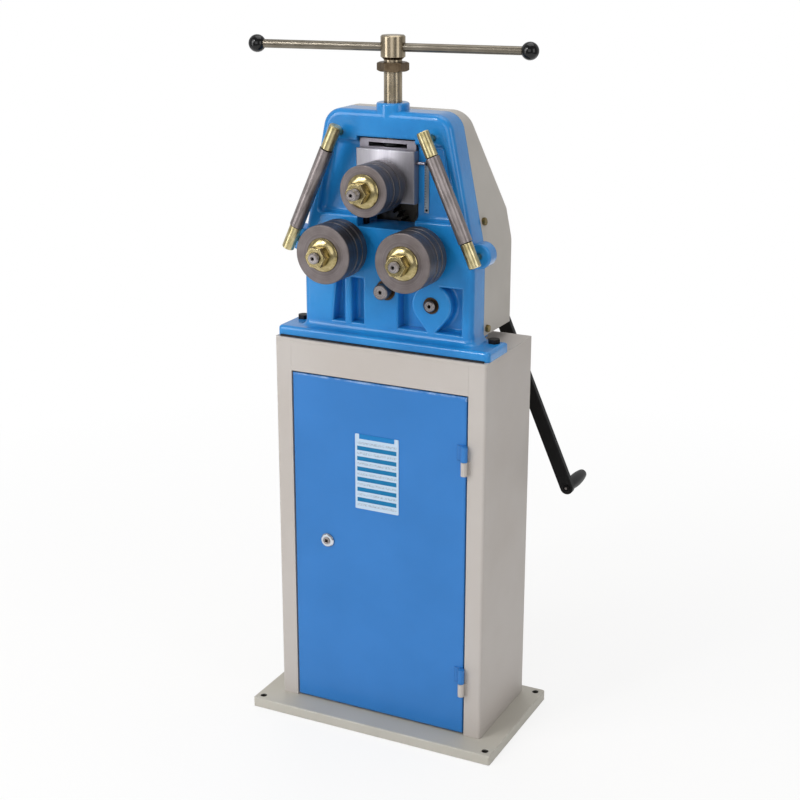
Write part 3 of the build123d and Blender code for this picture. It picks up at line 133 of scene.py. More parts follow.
def paintFinish(look):
    material, tree, shader, coords = newMaterial(look["name"])
    point = coords.outputs["Object"]
    mottle = addNode(tree, "ShaderNodeTexNoise", {"Scale": perMetre(look["mottleMm"]), "Detail": 3.0},
                     {"Vector": point})
    shade = addNode(tree, "ShaderNodeMapRange", paintSpans["drift"], {"Value": mottle.outputs["Fac"]})
    coat = addNode(tree, "ShaderNodeMix", {6: linear(look["colour"]), 7: linear(look["shade"])},
                   {0: shade.outputs["Result"]}, data_type="RGBA")
    # Painted shade: hollows are darkened towards a deep colour by how enclosed they are, standing for the
    # shade there as well as for paint pooled thick and grime
    openness = addNode(tree, "ShaderNodeAmbientOcclusion", {"Distance": look["hollowMm"] * mm},
                       samples=paintSpans["samples"]["hollow"], only_local=True)
    hollow = addNode(tree, "ShaderNodeMapRange", {**paintSpans["hollow"], "To Max": look["hollowShare"]},
                     {"Value": openness.outputs["AO"]})
    pooledAndShaded = addNode(tree, "ShaderNodeMix", {7: linear(look["hollowShadeColour"])},
                     {0: hollow.outputs["Result"], 6: coat.outputs[2]}, data_type="RGBA")
    # Paint pulls thin over sharp edges, so they come out a little paler, in broken lines
    softNormal, same = roundedEdge(tree, look["edgeMm"], paintSpans["samples"]["edge"])
    edge = addNode(tree, "ShaderNodeMapRange", paintSpans["edge"], {"Value": same})
    broken = addNode(tree, "ShaderNodeTexNoise", {"Scale": perMetre(look["chipMm"]), "Detail": 4.0},
                     {"Vector": point})
    chips = addNode(tree, "ShaderNodeMapRange", {**paintSpans["chips"], "To Max": look["edgeShare"]},
                    {"Value": broken.outputs["Fac"]})
    worn = addNode(tree, "ShaderNodeMath", operation="MULTIPLY",
                   links={0: edge.outputs["Result"], 1: chips.outputs["Result"]})
    wear = worn.outputs[0]
    if "foldHighlightAbove" in look:
        # Painted highlight: the pale edge is kept to the fold above this height, standing for light caught on
        # the door's rounded top edge
        height = addNode(tree, "ShaderNodeSeparateXYZ", links={0: point})
        upper = addNode(tree, "ShaderNodeMath", {1: look["foldHighlightAbove"]}, {0: height.outputs["Z"]},
                        operation="GREATER_THAN")
        foldHighlight = addNode(tree, "ShaderNodeMath", links={0: wear, 1: upper.outputs[0]}, operation="MULTIPLY")
        wear = foldHighlight.outputs[0]
    # Pale edges: wear, and on the door's upper fold a painted highlight
    colour = addNode(tree, "ShaderNodeMix", {7: linear(look["edge"])}, {0: wear, 6: pooledAndShaded.outputs[2]},
                     data_type="RGBA")
    lumps = addNode(tree, "ShaderNodeTexNoise", {"Scale": perMetre(look["lumpMm"]), "Detail": 2.0},
                    {"Vector": point})
    lumpBump = addNode(tree, "ShaderNodeBump", {"Strength": 1.0, "Distance": look["lumpHeightMm"] * mm},
                       {"Height": lumps.outputs["Fac"], "Normal": softNormal})
    peel = addNode(tree, "ShaderNodeTexNoise", {"Scale": perMetre(look["peelMm"]), "Detail": 1.0},
                   {"Vector": point})
    peelBump = addNode(tree, "ShaderNodeBump", {"Strength": 1.0, "Distance": look["peelHeightMm"] * mm},
                       {"Height": peel.outputs["Fac"], "Normal": lumpBump.outputs["Normal"]})
    gloss = addNode(tree, "ShaderNodeMapRange", around(look["roughness"], paintSpans["gloss"]),
                    {"Value": mottle.outputs["Fac"]})
    shader.inputs["Specular IOR Level"].default_value = look["specular"]
    shader.inputs["Coat Weight"].default_value = look["clear"]
    shader.inputs["Coat Roughness"].default_value = look["clearRoughness"]
    tree.links.new(colour.outputs[2], shader.inputs["Base Color"])
    tree.links.new(gloss.outputs["Result"], shader.inputs["Roughness"])
    tree.links.new(peelBump.outputs["Normal"], shader.inputs["Normal"])
    return material


# Gloss enamel brushed over sand-cast iron: wet blue, with the soft lumps of the casting under it
castEnamel = {"name": "gloss_enamel_on_cast_iron", "colour": "#2289D0", "shade": "#1B7DC4",
              "hollowShadeColour": "#06509E", "edge": "#6FB4EA", "mottleMm": 70, "hollowMm": 14, "hollowShare": 0.08,
              "edgeMm": 6.0, "chipMm": 9, "edgeShare": 0.08, "lumpMm": 26, "lumpHeightMm": 1.5,
              "peelMm": 2.4, "peelHeightMm": 0.03, "roughness": 0.42, "specular": 0.1, "clear": 1.0,
              "clearRoughness": 0.14}
# Baked enamel on folded sheet: the same blue family, flatter, with a faint oil-can wave in the panel
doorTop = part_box("door_panel")[1].z
foldMm = 8   # depth of the door's upper fold that gets the painted highlight
# Its very pale edge colour, kept to the upper fold, is a painted highlight
doorEnamel = {"name": "baked_enamel_on_sheet", "colour": "#2B77C0", "shade": "#2672B9", "hollowShadeColour": "#15498A",
              "edge": "#C3DCF5", "mottleMm": 140, "hollowMm": 12, "hollowShare": 0.7, "edgeMm": 5.5,
              "chipMm": 30, "edgeShare": 1.8, "foldHighlightAbove": doorTop - foldMm * mm, "lumpMm": 110,
              "lumpHeightMm": 0.5, "peelMm": 1.8, "peelHeightMm": 0.015, "roughness": 0.36,
              "specular": 0.35, "clear": 0.12, "clearRoughness": 0.16}
# Warm grey powder coat on the stand: low gloss, fine orange peel
standCoat = {"name": "grey_powder_coat", "colour": "#BDB7B2", "shade": "#B9B2AC", "hollowShadeColour": "#8C857C",
             "edge": "#D2CEC8", "mottleMm": 160, "hollowMm": 20, "hollowShare": 0.6, "edgeMm": 1.6,
             "chipMm": 18, "edgeShare": 0.4, "lumpMm": 90, "lumpHeightMm": 0.25, "peelMm": 1.5,
             "peelHeightMm": 0.03, "roughness": 0.5, "specular": 0.4, "clear": 0.05,
             "clearRoughness": 0.3}
# The same coat on the foot plate, yellowed and scuffed pale along its edges, with near-black painted shade in
# the anchor holes
plateCoat = {**standCoat, "name": "grey_powder_coat_on_plate", "colour": "#BBB7AD", "shade": "#B6B2A8",
             "hollowShadeColour": "#0E0D0C", "hollowMm": 16, "hollowShare": 1.0, "edge": "#DDDAD2", "edgeMm": 3.0,
             "edgeShare": 1.0}
# Grey enamel on the sheet cover of the gears: close to the stand's coat, a little glossier
coverCoat = {"name": "grey_enamel_on_cover", "colour": "#BDB8B1", "shade": "#B6B1AA", "hollowShadeColour": "#7D776F",
             "edge": "#C6C2BC", "mottleMm": 120, "hollowMm": 20, "hollowShare": 0.6, "edgeMm": 1.6,
             "chipMm": 16, "edgeShare": 0.35, "lumpMm": 60, "lumpHeightMm": 0.3, "peelMm": 1.5,
             "peelHeightMm": 0.03, "roughness": 0.46, "specular": 0.25, "clear": 0.05,
             "clearRoughness": 0.22}
# Air-dried black enamel on the crank: deep black, soft sheen, brush-thick
crankEnamel = {"name": "black_enamel_on_bar", "colour": "#070708", "shade": "#0B0B0D", "hollowShadeColour": "#050506",
               "edge": "#3A3A3E", "mottleMm": 40, "hollowMm": 8, "hollowShare": 0.5, "edgeMm": 1.0,
               "chipMm": 7, "edgeShare": 0.4, "lumpMm": 20, "lumpHeightMm": 0.2, "peelMm": 1.6,
               "peelHeightMm": 0.02, "roughness": 0.42, "specular": 0.25, "clear": 0.03,
               "clearRoughness": 0.25}

dress(paintFinish(castEnamel), "head_casting")
dress(paintFinish(doorEnamel), "door_panel", "door_knuckles")
dress(paintFinish(standCoat), "stand_left_side", "stand_right_side", "stand_front_rail", "stand_back",
      "stand_top", "hinge_seats")
dress(paintFinish(plateCoat), "base_plate")
dress(paintFinish(coverCoat), "gear_cover")
dress(paintFinish(crankEnamel), "crank_arm")
print("paint done")


# Bare and plated metal. Real tool marks are finer than every markMm here; they are drawn coarse to show

metalSpans = {
    "stain": {"From Min": 0.32, "From Max": 0.68},     # noise that carries the whole stain
    "marks": {"From Min": 0.3, "From Max": 0.7},       # noise that carries the tool marks and rings
    "facing": {"From Min": 0.45, "From Max": 0.85},    # how squarely a ground face looks to the front
    "corner": {"From Min": 0.9, "From Max": 0.35},     # openness where the painted shade starts and where it is full
    "gleam": {"From Min": 0.99, "From Max": 0.85},     # agreement of the normals where an edge shines
    "edgeHighlightGain": 1.5,                                  # brightness of the painted edge highlight against the face beside it
    "spotCore": 0.7,                                   # share of a worn spot that is quite bare
    "gloss": 0.08,                                     # how far the roughness wanders
    "samples": {"corner": 6, "edge": 4},
}


def mirroredPoint(tree, point):
    # Folds the left half onto the right, so that one mapping serves a left and a right piece
    halves = addNode(tree, "ShaderNodeSeparateXYZ", links={0: point})
    across = addNode(tree, "ShaderNodeMath", links={0: halves.outputs["X"]}, operation="ABSOLUTE")
    folded = addNode(tree, "ShaderNodeCombineXYZ",
                     links={"X": across.outputs[0], "Y": halves.outputs["Y"], "Z": halves.outputs["Z"]})
    return folded.outputs["Vector"]


def paintedSheenMiddle(tree, look, place, colour):
    # Painted sheen: the colour is brightest down the middle of the face and falls off towards the sides
    spot = addNode(tree, "ShaderNodeSeparateXYZ", links={0: place})
    aside = addNode(tree, "ShaderNodeMath", links={0: spot.outputs["X"]}, operation="ABSOLUTE")
    sheenFalloff = addNode(tree, "ShaderNodeMapRange",
                     {"From Max": look["sheenHalfWidthMm"] * mm, "To Min": 1.0, "To Max": look["sheenSideShade"]},
                     {"Value": aside.outputs[0]}, interpolation_type="SMOOTHSTEP")
    sheened = addNode(tree, "ShaderNodeVectorMath", links={0: colour, "Scale": sheenFalloff.outputs["Result"]},
                    operation="SCALE")
    return sheened.outputs["Vector"]


def groundFace(tree, look, normal, point, front, colour):
    # Painted shade: only the outer face keeps the ground colour; rims, grooves and inner faces get a darker
    # colour that stands for the shade they lie in
    squarely = addNode(tree, "ShaderNodeVectorMath", {1: (0.0, -1.0, 0.0)}, {0: normal},
                       operation="DOT_PRODUCT")
    facing = addNode(tree, "ShaderNodeMapRange", metalSpans["facing"], {"Value": squarely.outputs["Value"]})
    depth = addNode(tree, "ShaderNodeSeparateXYZ", links={0: point})
    outer = addNode(tree, "ShaderNodeMath", {1: front + look["faceMm"] * mm}, {0: depth.outputs["Y"]},
                    operation="LESS_THAN")
    face = addNode(tree, "ShaderNodeMath", operation="MULTIPLY",
                   links={0: facing.outputs["Result"], 1: outer.outputs[0]})
    shadedRims = addNode(tree, "ShaderNodeMix", {6: linear(look["rim"])}, {0: face.outputs[0], 7: colour},
                   data_type="RGBA")
    return shadedRims.outputs[2]


def latheMarks(tree, look, place, colour):
    # The tool's path goes out from the axis and on along it
    flat = addNode(tree, "ShaderNodeVectorMath", {1: (1.0, 1.0, 0.0)}, {0: place}, operation="MULTIPLY")
    radius = addNode(tree, "ShaderNodeVectorMath", links={0: flat.outputs["Vector"]}, operation="LENGTH")
    along = addNode(tree, "ShaderNodeSeparateXYZ", links={0: place})
    path = addNode(tree, "ShaderNodeMath", operation="ADD",
                   links={0: radius.outputs["Value"], 1: along.outputs["Z"]})
    marks = addNode(tree, "ShaderNodeTexNoise", {"Scale": perMetre(look["markMm"]), "Detail": 2.0},
                    {"W": path.outputs[0]}, noise_dimensions="1D")
    if "spotMm" in look:
        # Wear has bared the middle of the end
        reach = look["spotMm"] * mm
        core = metalSpans["spotCore"] * reach
        bared = addNode(tree, "ShaderNodeMapRange",
                        {"From Min": core, "From Max": reach, "To Min": 1.0, "To Max": 0.0},
                        {"Value": radius.outputs["Value"]})
        spotted = addNode(tree, "ShaderNodeMix", {7: linear(look["spot"])},
                          {0: bared.outputs["Result"], 6: colour}, data_type="RGBA")
        colour = spotted.outputs[2]
    if "ringMm" in look:
        # Each pass of the tool leaves a ring of its own tone
        rings = addNode(tree, "ShaderNodeTexNoise", {"Scale": perMetre(look["ringMm"]), "Detail": 1.0},
                        {"W": path.outputs[0]}, noise_dimensions="1D")
        tone = addNode(tree, "ShaderNodeMapRange", {**metalSpans["marks"], **around(1.0, look["ringShare"])},
                       {"Value": rings.outputs["Fac"]})
        ringed = addNode(tree, "ShaderNodeVectorMath", links={0: colour, "Scale": tone.outputs["Result"]},
                         operation="SCALE")
        colour = ringed.outputs["Vector"]
    return marks.outputs["Fac"], colour


def drawnMarks(tree, look, place):
    # Drawing and grinding leave lines along the piece's axis
    stretched = addNode(tree, "ShaderNodeVectorMath", {1: (1.0, 1.0, look["stretch"])}, {0: place},
                        operation="MULTIPLY")
    marks = addNode(tree, "ShaderNodeTexNoise", {"Scale": perMetre(look["markMm"]), "Detail": 2.0},
                    {"Vector": stretched.outputs["Vector"]})
    return marks.outputs["Fac"]


def metalFinish(look, centre=(0.0, 0.0, 0.0), turn=(0.0, 0.0, 0.0), mirrored=False, front=0.0):
    # After the mapping the piece's own axis is local Z. Front is the depth of its outermost face
    material, tree, shader, coords = newMaterial(look["name"])
    point = coords.outputs["Object"]
    if mirrored:
        point = mirroredPoint(tree, point)
    local = addNode(tree, "ShaderNodeMapping", {"Location": centre, "Rotation": turn}, {"Vector": point},
                    vector_type="TEXTURE")
    place = local.outputs["Vector"]
    banded = addNode(tree, "ShaderNodeVectorMath", {1: (1.0, 1.0, look.get("band", 1.0))}, {0: place},
                     operation="MULTIPLY")
    stain = addNode(tree, "ShaderNodeTexNoise", {"Scale": perMetre(look["stainMm"]), "Detail": 4.0},
                    {"Vector": banded.outputs["Vector"]})
    tint = addNode(tree, "ShaderNodeMapRange", metalSpans["stain"], {"Value": stain.outputs["Fac"]})
    bare = addNode(tree, "ShaderNodeMix", {6: linear(look["colour"]), 7: linear(look["stain"])},
                   {0: tint.outputs["Result"]}, data_type="RGBA")
    colour = bare.outputs[2]
    if "sheenHalfWidthMm" in look:
        colour = paintedSheenMiddle(tree, look, place, colour)
    if "rim" in look:
        colour = groundFace(tree, look, coords.outputs["Normal"], point, front, colour)
    if look["marks"] == "round":
        marks, colour = latheMarks(tree, look, place, colour)
    else:
        marks = drawnMarks(tree, look, place)
    streak = addNode(tree, "ShaderNodeMapRange", {**metalSpans["marks"], **around(1.0, look["streak"])},
                     {"Value": marks})
    streaked = addNode(tree, "ShaderNodeVectorMath", links={0: colour, "Scale": streak.outputs["Result"]},
                       operation="SCALE")
    # Painted shade: inner corners and the places between pieces are darkened by how enclosed they are, in
    # grime colours
    openness = addNode(tree, "ShaderNodeAmbientOcclusion", {"Distance": look["grimeMm"] * mm},
                       samples=metalSpans["samples"]["corner"])
    corner = addNode(tree, "ShaderNodeMapRange", {**metalSpans["corner"], "To Max": look["grimeShare"]},
                     {"Value": openness.outputs["AO"]})
    # Painted highlight: outer edges are brightened in colour, standing for light caught on their rounding as
    # well as for polish from handling
    softNormal, same = roundedEdge(tree, look["edgeMm"], metalSpans["samples"]["edge"])
    gleam = addNode(tree, "ShaderNodeMapRange",
                    {**metalSpans["gleam"], "To Min": 1.0, "To Max": metalSpans["edgeHighlightGain"]},
                    {"Value": same})
    edgeHighlighted = addNode(tree, "ShaderNodeVectorMath", operation="SCALE",
                       links={0: streaked.outputs["Vector"], "Scale": gleam.outputs["Result"]})
    cornerShaded = addNode(tree, "ShaderNodeMix", {7: linear(look["grime"])},
                     {0: corner.outputs["Result"], 6: edgeHighlighted.outputs["Vector"]}, data_type="RGBA")
    rough = addNode(tree, "ShaderNodeMapRange", around(look["roughness"], metalSpans["gloss"]),
                    {"Value": marks})
    cut = addNode(tree, "ShaderNodeBump", {"Strength": 1.0, "Distance": look["markHeightMm"] * mm},
                  {"Height": marks, "Normal": softNormal})
    shader.inputs["Metallic"].default_value = look["metallic"]
    tree.links.new(cornerShaded.outputs[2], shader.inputs["Base Color"])
    tree.links.new(rough.outputs["Result"], shader.inputs["Roughness"])
    tree.links.new(cut.outputs["Normal"], shader.inputs["Normal"])
    return material


alongY = (math.radians(90), 0.0, 0.0)

# Roll steel: turned and ground faces in rings of their own tone, rims and grooves painted dark as shade
rollSteel = {"name": "hardened_roll_steel", "colour": "#7F7777", "stain": "#6D6564", "rim": "#686364",
             "faceMm": 1.2, "stainMm": 30, "marks": "round", "markMm": 1.8, "markHeightMm": 0.02,
             "streak": 0.12, "ringMm": 9, "ringShare": 0.16, "roughness": 0.42, "metallic": 0.8,
             "edgeMm": 1.8, "grime": "#1A1514", "grimeMm": 9, "grimeShare": 0.95}
# Yellow-passivated zinc plate: pale brass, with a greenish drift and a bright sheen
yellowZinc = {"name": "yellow_zinc_plate", "colour": "#C8B88D", "stain": "#9C8E5E", "stainMm": 11,
              "marks": "along", "markMm": 3.0, "stretch": 0.03, "markHeightMm": 0.008, "streak": 0.12,
              "roughness": 0.22, "metallic": 1.0, "edgeMm": 0.6, "grime": "#3E351A", "grimeMm": 5,
              "grimeShare": 0.8}
# The same plate on turned washers and nuts: smoother, so the dome carries one clear highlight
turnedZinc = {**yellowZinc, "name": "yellow_zinc_on_turned_steel", "marks": "round", "markMm": 2.5,
              "streak": 0.05, "markHeightMm": 0.003, "edgeMm": 1.2}
# On the end blocks the plate is thicker and paler, with streaks down the bar it was cut from
blockZinc = {**yellowZinc, "name": "yellow_zinc_on_drawn_bar", "colour": "#DDD0A6", "stain": "#B4A777",
             "streak": 0.2, "roughness": 0.3}
# On the cover screws the same plate is given a darker, browner colour
darkenedZinc = {**yellowZinc, "name": "darkened_zinc_plate", "colour": "#9A8857", "stain": "#695A34",
              "roughness": 0.36}
# Ground steel of the slide and the bearing plate: cool grey with straight grinding lines and a painted sheen
# down the middle
groundSteel = {"name": "surface_ground_steel", "colour": "#F0EDF6", "stain": "#D2CFDA", "stainMm": 24,
               "band": 0.12, "sheenHalfWidthMm": 52, "sheenSideShade": 0.42, "marks": "along", "markMm": 1.6,
               "stretch": 0.04, "markHeightMm": 0.012, "streak": 0.07, "roughness": 0.36, "metallic": 0.6,
               "edgeMm": 0.6, "grime": "#3C3A3D", "grimeMm": 8, "grimeShare": 0.8}
# The keeper is left as drawn: the same grey, duller, with a weaker painted sheen
keeperSteel = {**groundSteel, "name": "cold_drawn_keeper_steel", "colour": "#A6A2AD", "stain": "#938F9A",
               "sheenSideShade": 0.8}
# Drawn steel tube of the guide rollers: lengthwise drawing lines, a little pinkish
drawnSteel = {"name": "drawn_steel_tube", "colour": "#9E9594", "stain": "#837B7A", "stainMm": 25,
              "marks": "along", "markMm": 4.5, "stretch": 0.012, "markHeightMm": 0.03, "streak": 0.3,
              "roughness": 0.36, "metallic": 0.85, "edgeMm": 0.6, "grime": "#2E2A29", "grimeMm": 4,
              "grimeShare": 0.7}
# Oiled bright bar of the screw: brown-grey, since the oil film has darkened
oiledSteel = {"name": "oiled_bright_bar", "colour": "#BCAE97", "stain": "#998C75", "stainMm": 40,
              "marks": "along", "markMm": 4.0, "stretch": 0.012, "markHeightMm": 0.006, "streak": 0.22,
              "roughness": 0.26, "metallic": 1.0, "edgeMm": 0.8, "grime": "#3A2F22", "grimeMm": 6,
              "grimeShare": 0.8}
# The cross bar is handled all day, so it stays greyer
barSteel = {**oiledSteel, "name": "bright_drawn_bar", "colour": "#8B8478", "stain": "#777064",
            "streak": 0.06, "markHeightMm": 0.001, "roughness": 0.36, "edgeMm": 0.2}
# The lock nut lives in the same oil but is never wiped: dark brown
agedSteel = {"name": "oil_browned_steel", "colour": "#7A6A55", "stain": "#5C4D3C", "stainMm": 14,
             "marks": "along", "markMm": 3.0, "stretch": 0.1, "markHeightMm": 0.01, "streak": 0.15,
             "roughness": 0.34, "metallic": 1.0, "edgeMm": 0.8, "grime": "#241C14", "grimeMm": 6,
             "grimeShare": 0.8}
# Turned bright steel of the shafts: clean silver, feed marks round the axis
turnedSteel = {"name": "turned_bright_steel", "colour": "#ABA4A3", "stain": "#8E8786", "stainMm": 20,
               "marks": "round", "markMm": 1.0, "markHeightMm": 0.012, "streak": 0.08, "roughness": 0.28,
               "metallic": 0.9, "edgeMm": 0.5, "grime": "#1E1D1E", "grimeMm": 6, "grimeShare": 0.95}
# The two shafts that end in the casting's front show a clean end face, their sides painted dark as shade
noseSteel = {**turnedSteel, "name": "faced_shaft_end", "rim": "#6B6562", "faceMm": 4.0, "colour": "#9C9798"}
# The riveted pin of the grip is painted over with the arm, and worn bright in the middle of its end
pinSteel = {**turnedSteel, "name": "riveted_pin_under_paint", "colour": "#1C1B1C", "stain": "#121213",
            "spot": "#8F8A89", "spotMm": 3.0}
# Black-oxided bolts: dry blue-black with a trace of oil
blackOxide = {"name": "black_oxide_steel", "colour": "#26272B", "stain": "#1A1A1D", "stainMm": 8,
              "marks": "round", "markMm": 1.2, "markHeightMm": 0.01, "streak": 0.1, "roughness": 0.42,
              "metallic": 0.85, "edgeMm": 0.6, "grime": "#0A0A0B", "grimeMm": 5, "grimeShare": 0.8}
# Hobbed gear steel, greased: grey with darker patches
gearSteel = {"name": "hobbed_gear_steel", "colour": "#8A8988", "stain": "#5E5A55", "stainMm": 18,
             "marks": "round", "markMm": 1.4, "markHeightMm": 0.02, "streak": 0.1, "roughness": 0.35,
             "metallic": 1.0, "edgeMm": 0.4, "grime": "#2A2723", "grimeMm": 4, "grimeShare": 0.8}
# Sintered bronze of the bushes: soaked in oil, almost black-brown where it shows; the dark colour also stands
# for the shade ring round the shaft noses
bushBronze = {"name": "oiled_bronze_dark_for_shade", "colour": "#55432F", "stain": "#3D3023", "stainMm": 12,
              "marks": "round", "markMm": 1.0, "markHeightMm": 0.01, "streak": 0.08, "roughness": 0.38,
              "metallic": 0.9, "edgeMm": 0.4, "grime": "#191410", "grimeMm": 4, "grimeShare": 0.8}
# Cast bronze of the screw nut: dull gold-brown
nutBronze = {**bushBronze, "name": "cast_nut_bronze", "colour": "#A87F4C", "stain": "#8E6839"}
# Chrome on a zinc die casting, for the lock barrel: near-mirror silver
lockChrome = {"name": "chromed_die_casting", "colour": "#D9DEE5", "stain": "#C6CCD4", "stainMm": 9,
              "marks": "round", "markMm": 0.9, "markHeightMm": 0.004, "streak": 0.03, "roughness": 0.14,
              "metallic": 1.0, "edgeMm": 0.8, "grime": "#2B2726", "grimeMm": 4, "grimeShare": 0.85}
# Its plug is nickelled and worn by keys: a little warmer and duller than the barrel
plugNickel = {**lockChrome, "name": "worn_nickel_plug", "colour": "#A39C9B", "stain": "#7F7876",
              "roughness": 0.24}

# Turned pieces: the marks run round each one's own axis
for finish, *names in ((rollSteel, "left_rolls", "right_rolls", "top_rolls"),
                       (turnedSteel, "left_roll_shaft", "right_roll_shaft", "top_shaft"),
                       (noseSteel, "intermediate_shaft", "crank_shaft"),
                       (gearSteel, "left_roll_gear", "right_roll_gear", "intermediate_gear",
                        "intermediate_pinion", "crank_pinion"),
                       (pinSteel, "grip_pin"),
                       (lockChrome, "lock_housing")):
    for name in names:
        dress(metalFinish(finish, tuple(middle(name)), alongY, front=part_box(name)[0].y), name)
for side in ("left", "right", "top"):
    dress(metalFinish(turnedZinc, tuple(middle(side + "_washer")), alongY), side + "_washer", side + "_nut")
dress(metalFinish(bushBronze, tuple(middle("intermediate_shaft")), alongY), "shaft_bushes", "slide_bushes")
dress(metalFinish(plugNickel, tuple(middle("lock_housing")), alongY), "lock_plug")

# Pieces with an upright axis
for finish, *names in ((groundSteel, "slide_block", "bearing_plate"),
                       (keeperSteel, "screw_keeper", "depth_pointer"),
                       (agedSteel, "screw_lock_nut")):
    dress(metalFinish(finish, tuple(middle(names[0]))), *names)
screwSpot = middle("feed_screw")
screwSteel = metalFinish(oiledSteel, tuple(screwSpot))
dress(screwSteel, "feed_screw")
dress(metalFinish(nutBronze, tuple(screwSpot)), "screw_nut")

# Pieces with a slanted axis: the cross bar and the guide rollers
barLow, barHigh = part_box("tommy_bar")
barTurn = math.atan2(barHigh.y - barLow.y, barHigh.x - barLow.x)
dress(metalFinish(barSteel, tuple(middle("tommy_bar")), (0.0, math.radians(90), barTurn)), "tommy_bar")
sleeveLow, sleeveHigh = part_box("right_guide_sleeve")
sleeveLean = (0.0, -math.atan2(sleeveHigh.x - sleeveLow.x, sleeveHigh.z - sleeveLow.z), 0.0)
sleeveSpot = tuple(middle("right_guide_sleeve"))
for finish, *names in ((drawnSteel, "left_guide_sleeve", "right_guide_sleeve"),
                       (blockZinc, "guide_end_blocks")):
    dress(metalFinish(finish, sleeveSpot, sleeveLean, mirrored=True), *names)

# Small pieces whose finish needs no axis of their own
for finish, *names in ((turnedSteel, "plate_pillars", "top_collar"),
                       (yellowZinc, "crank_bolt", "lock_tongue", "guide_studs"),
                       (darkenedZinc, "cover_screws")):
    dress(metalFinish(finish), *names)
blackBolt = metalFinish(blackOxide)
dress(blackBolt, "head_bolts", "screw_collar", "guide_keys")
print("metal done")


# Plastics

def plasticFinish(look):
    material, tree, shader, coords = newMaterial(look["name"])
    flow = addNode(tree, "ShaderNodeTexNoise", {"Scale": perMetre(look["flowMm"]), "Detail": 3.0},
                   {"Vector": coords.outputs["Object"]})
    colour = addNode(tree, "ShaderNodeMix", {6: linear(look["colour"]), 7: linear(look["flow"])},
                     {0: flow.outputs["Fac"]}, data_type="RGBA")
    grain = addNode(tree, "ShaderNodeTexNoise", {"Scale": perMetre(look["grainMm"]), "Detail": 2.0},
                    {"Vector": coords.outputs["Object"]})
    skin = addNode(tree, "ShaderNodeBump", {"Strength": 1.0, "Distance": look["grainHeightMm"] * mm},
                   {"Height": grain.outputs["Fac"]})
    rough = addNode(tree, "ShaderNodeMapRange", around(look["roughness"], look["gloss"]),
                    {"Value": flow.outputs["Fac"]})
    shader.inputs["IOR"].default_value = look["ior"]
    tree.links.new(colour.outputs[2], shader.inputs["Base Color"])
    tree.links.new(rough.outputs["Result"], shader.inputs["Roughness"])
    tree.links.new(skin.outputs["Normal"], shader.inputs["Normal"])
    return material


# Phenolic ball knobs: moulded and polished, near-mirror black
ballPhenolic = {"name": "polished_phenolic", "colour": "#040405", "flow": "#070708", "flowMm": 9,
                "grainMm": 3.0, "grainHeightMm": 0.004, "roughness": 0.14, "gloss": 0.04, "ior": 1.45}
# Moulded grip: black polypropylene with a spark-eroded grain, drawn coarser than real to show
gripPlastic = {"name": "grained_polypropylene", "colour": "#08080A", "flow": "#0E0E10", "flowMm": 12,
               "grainMm": 0.9, "grainHeightMm": 0.03, "roughness": 0.46, "gloss": 0.04, "ior": 1.49}
# Dull near-black for the painted shadow line under the casting, slightly ribbed
shadowLineBlack = {"name": "black_for_shadow_line", "colour": "#1A1B20", "flow": "#101114", "flowMm": 25,
                "grainMm": 5.0, "grainHeightMm": 0.2, "roughness": 0.62, "gloss": 0.04, "ior": 1.41}
dress(plasticFinish(ballPhenolic), "ball_knobs")
dress(plasticFinish(gripPlastic), "crank_grip")
print("plastics done")


# Printed door plate: pale anodised aluminium with seven printed bars, the top one between corner tabs

labelPlate = {"name": "printed_aluminium_plate", "colour": "#BBCEE0", "ink": "#0A689A",
              "inkDrift": "#0F77A8", "topInk": "#1B78B8", "worn": "#98A7B5", "rowMm": 5.0, "wornMm": 2.6,
              "pitchMm": 21.5, "barMm": 8.8, "topBarMm": 9.6, "marginMm": 4.4, "tabMm": 9.0,
              "firstMm": 7.4, "lowerBars": 6, "mottleMm": 18, "roughness": 0.4, "gloss": 0.05,
              "specular": 0.2}


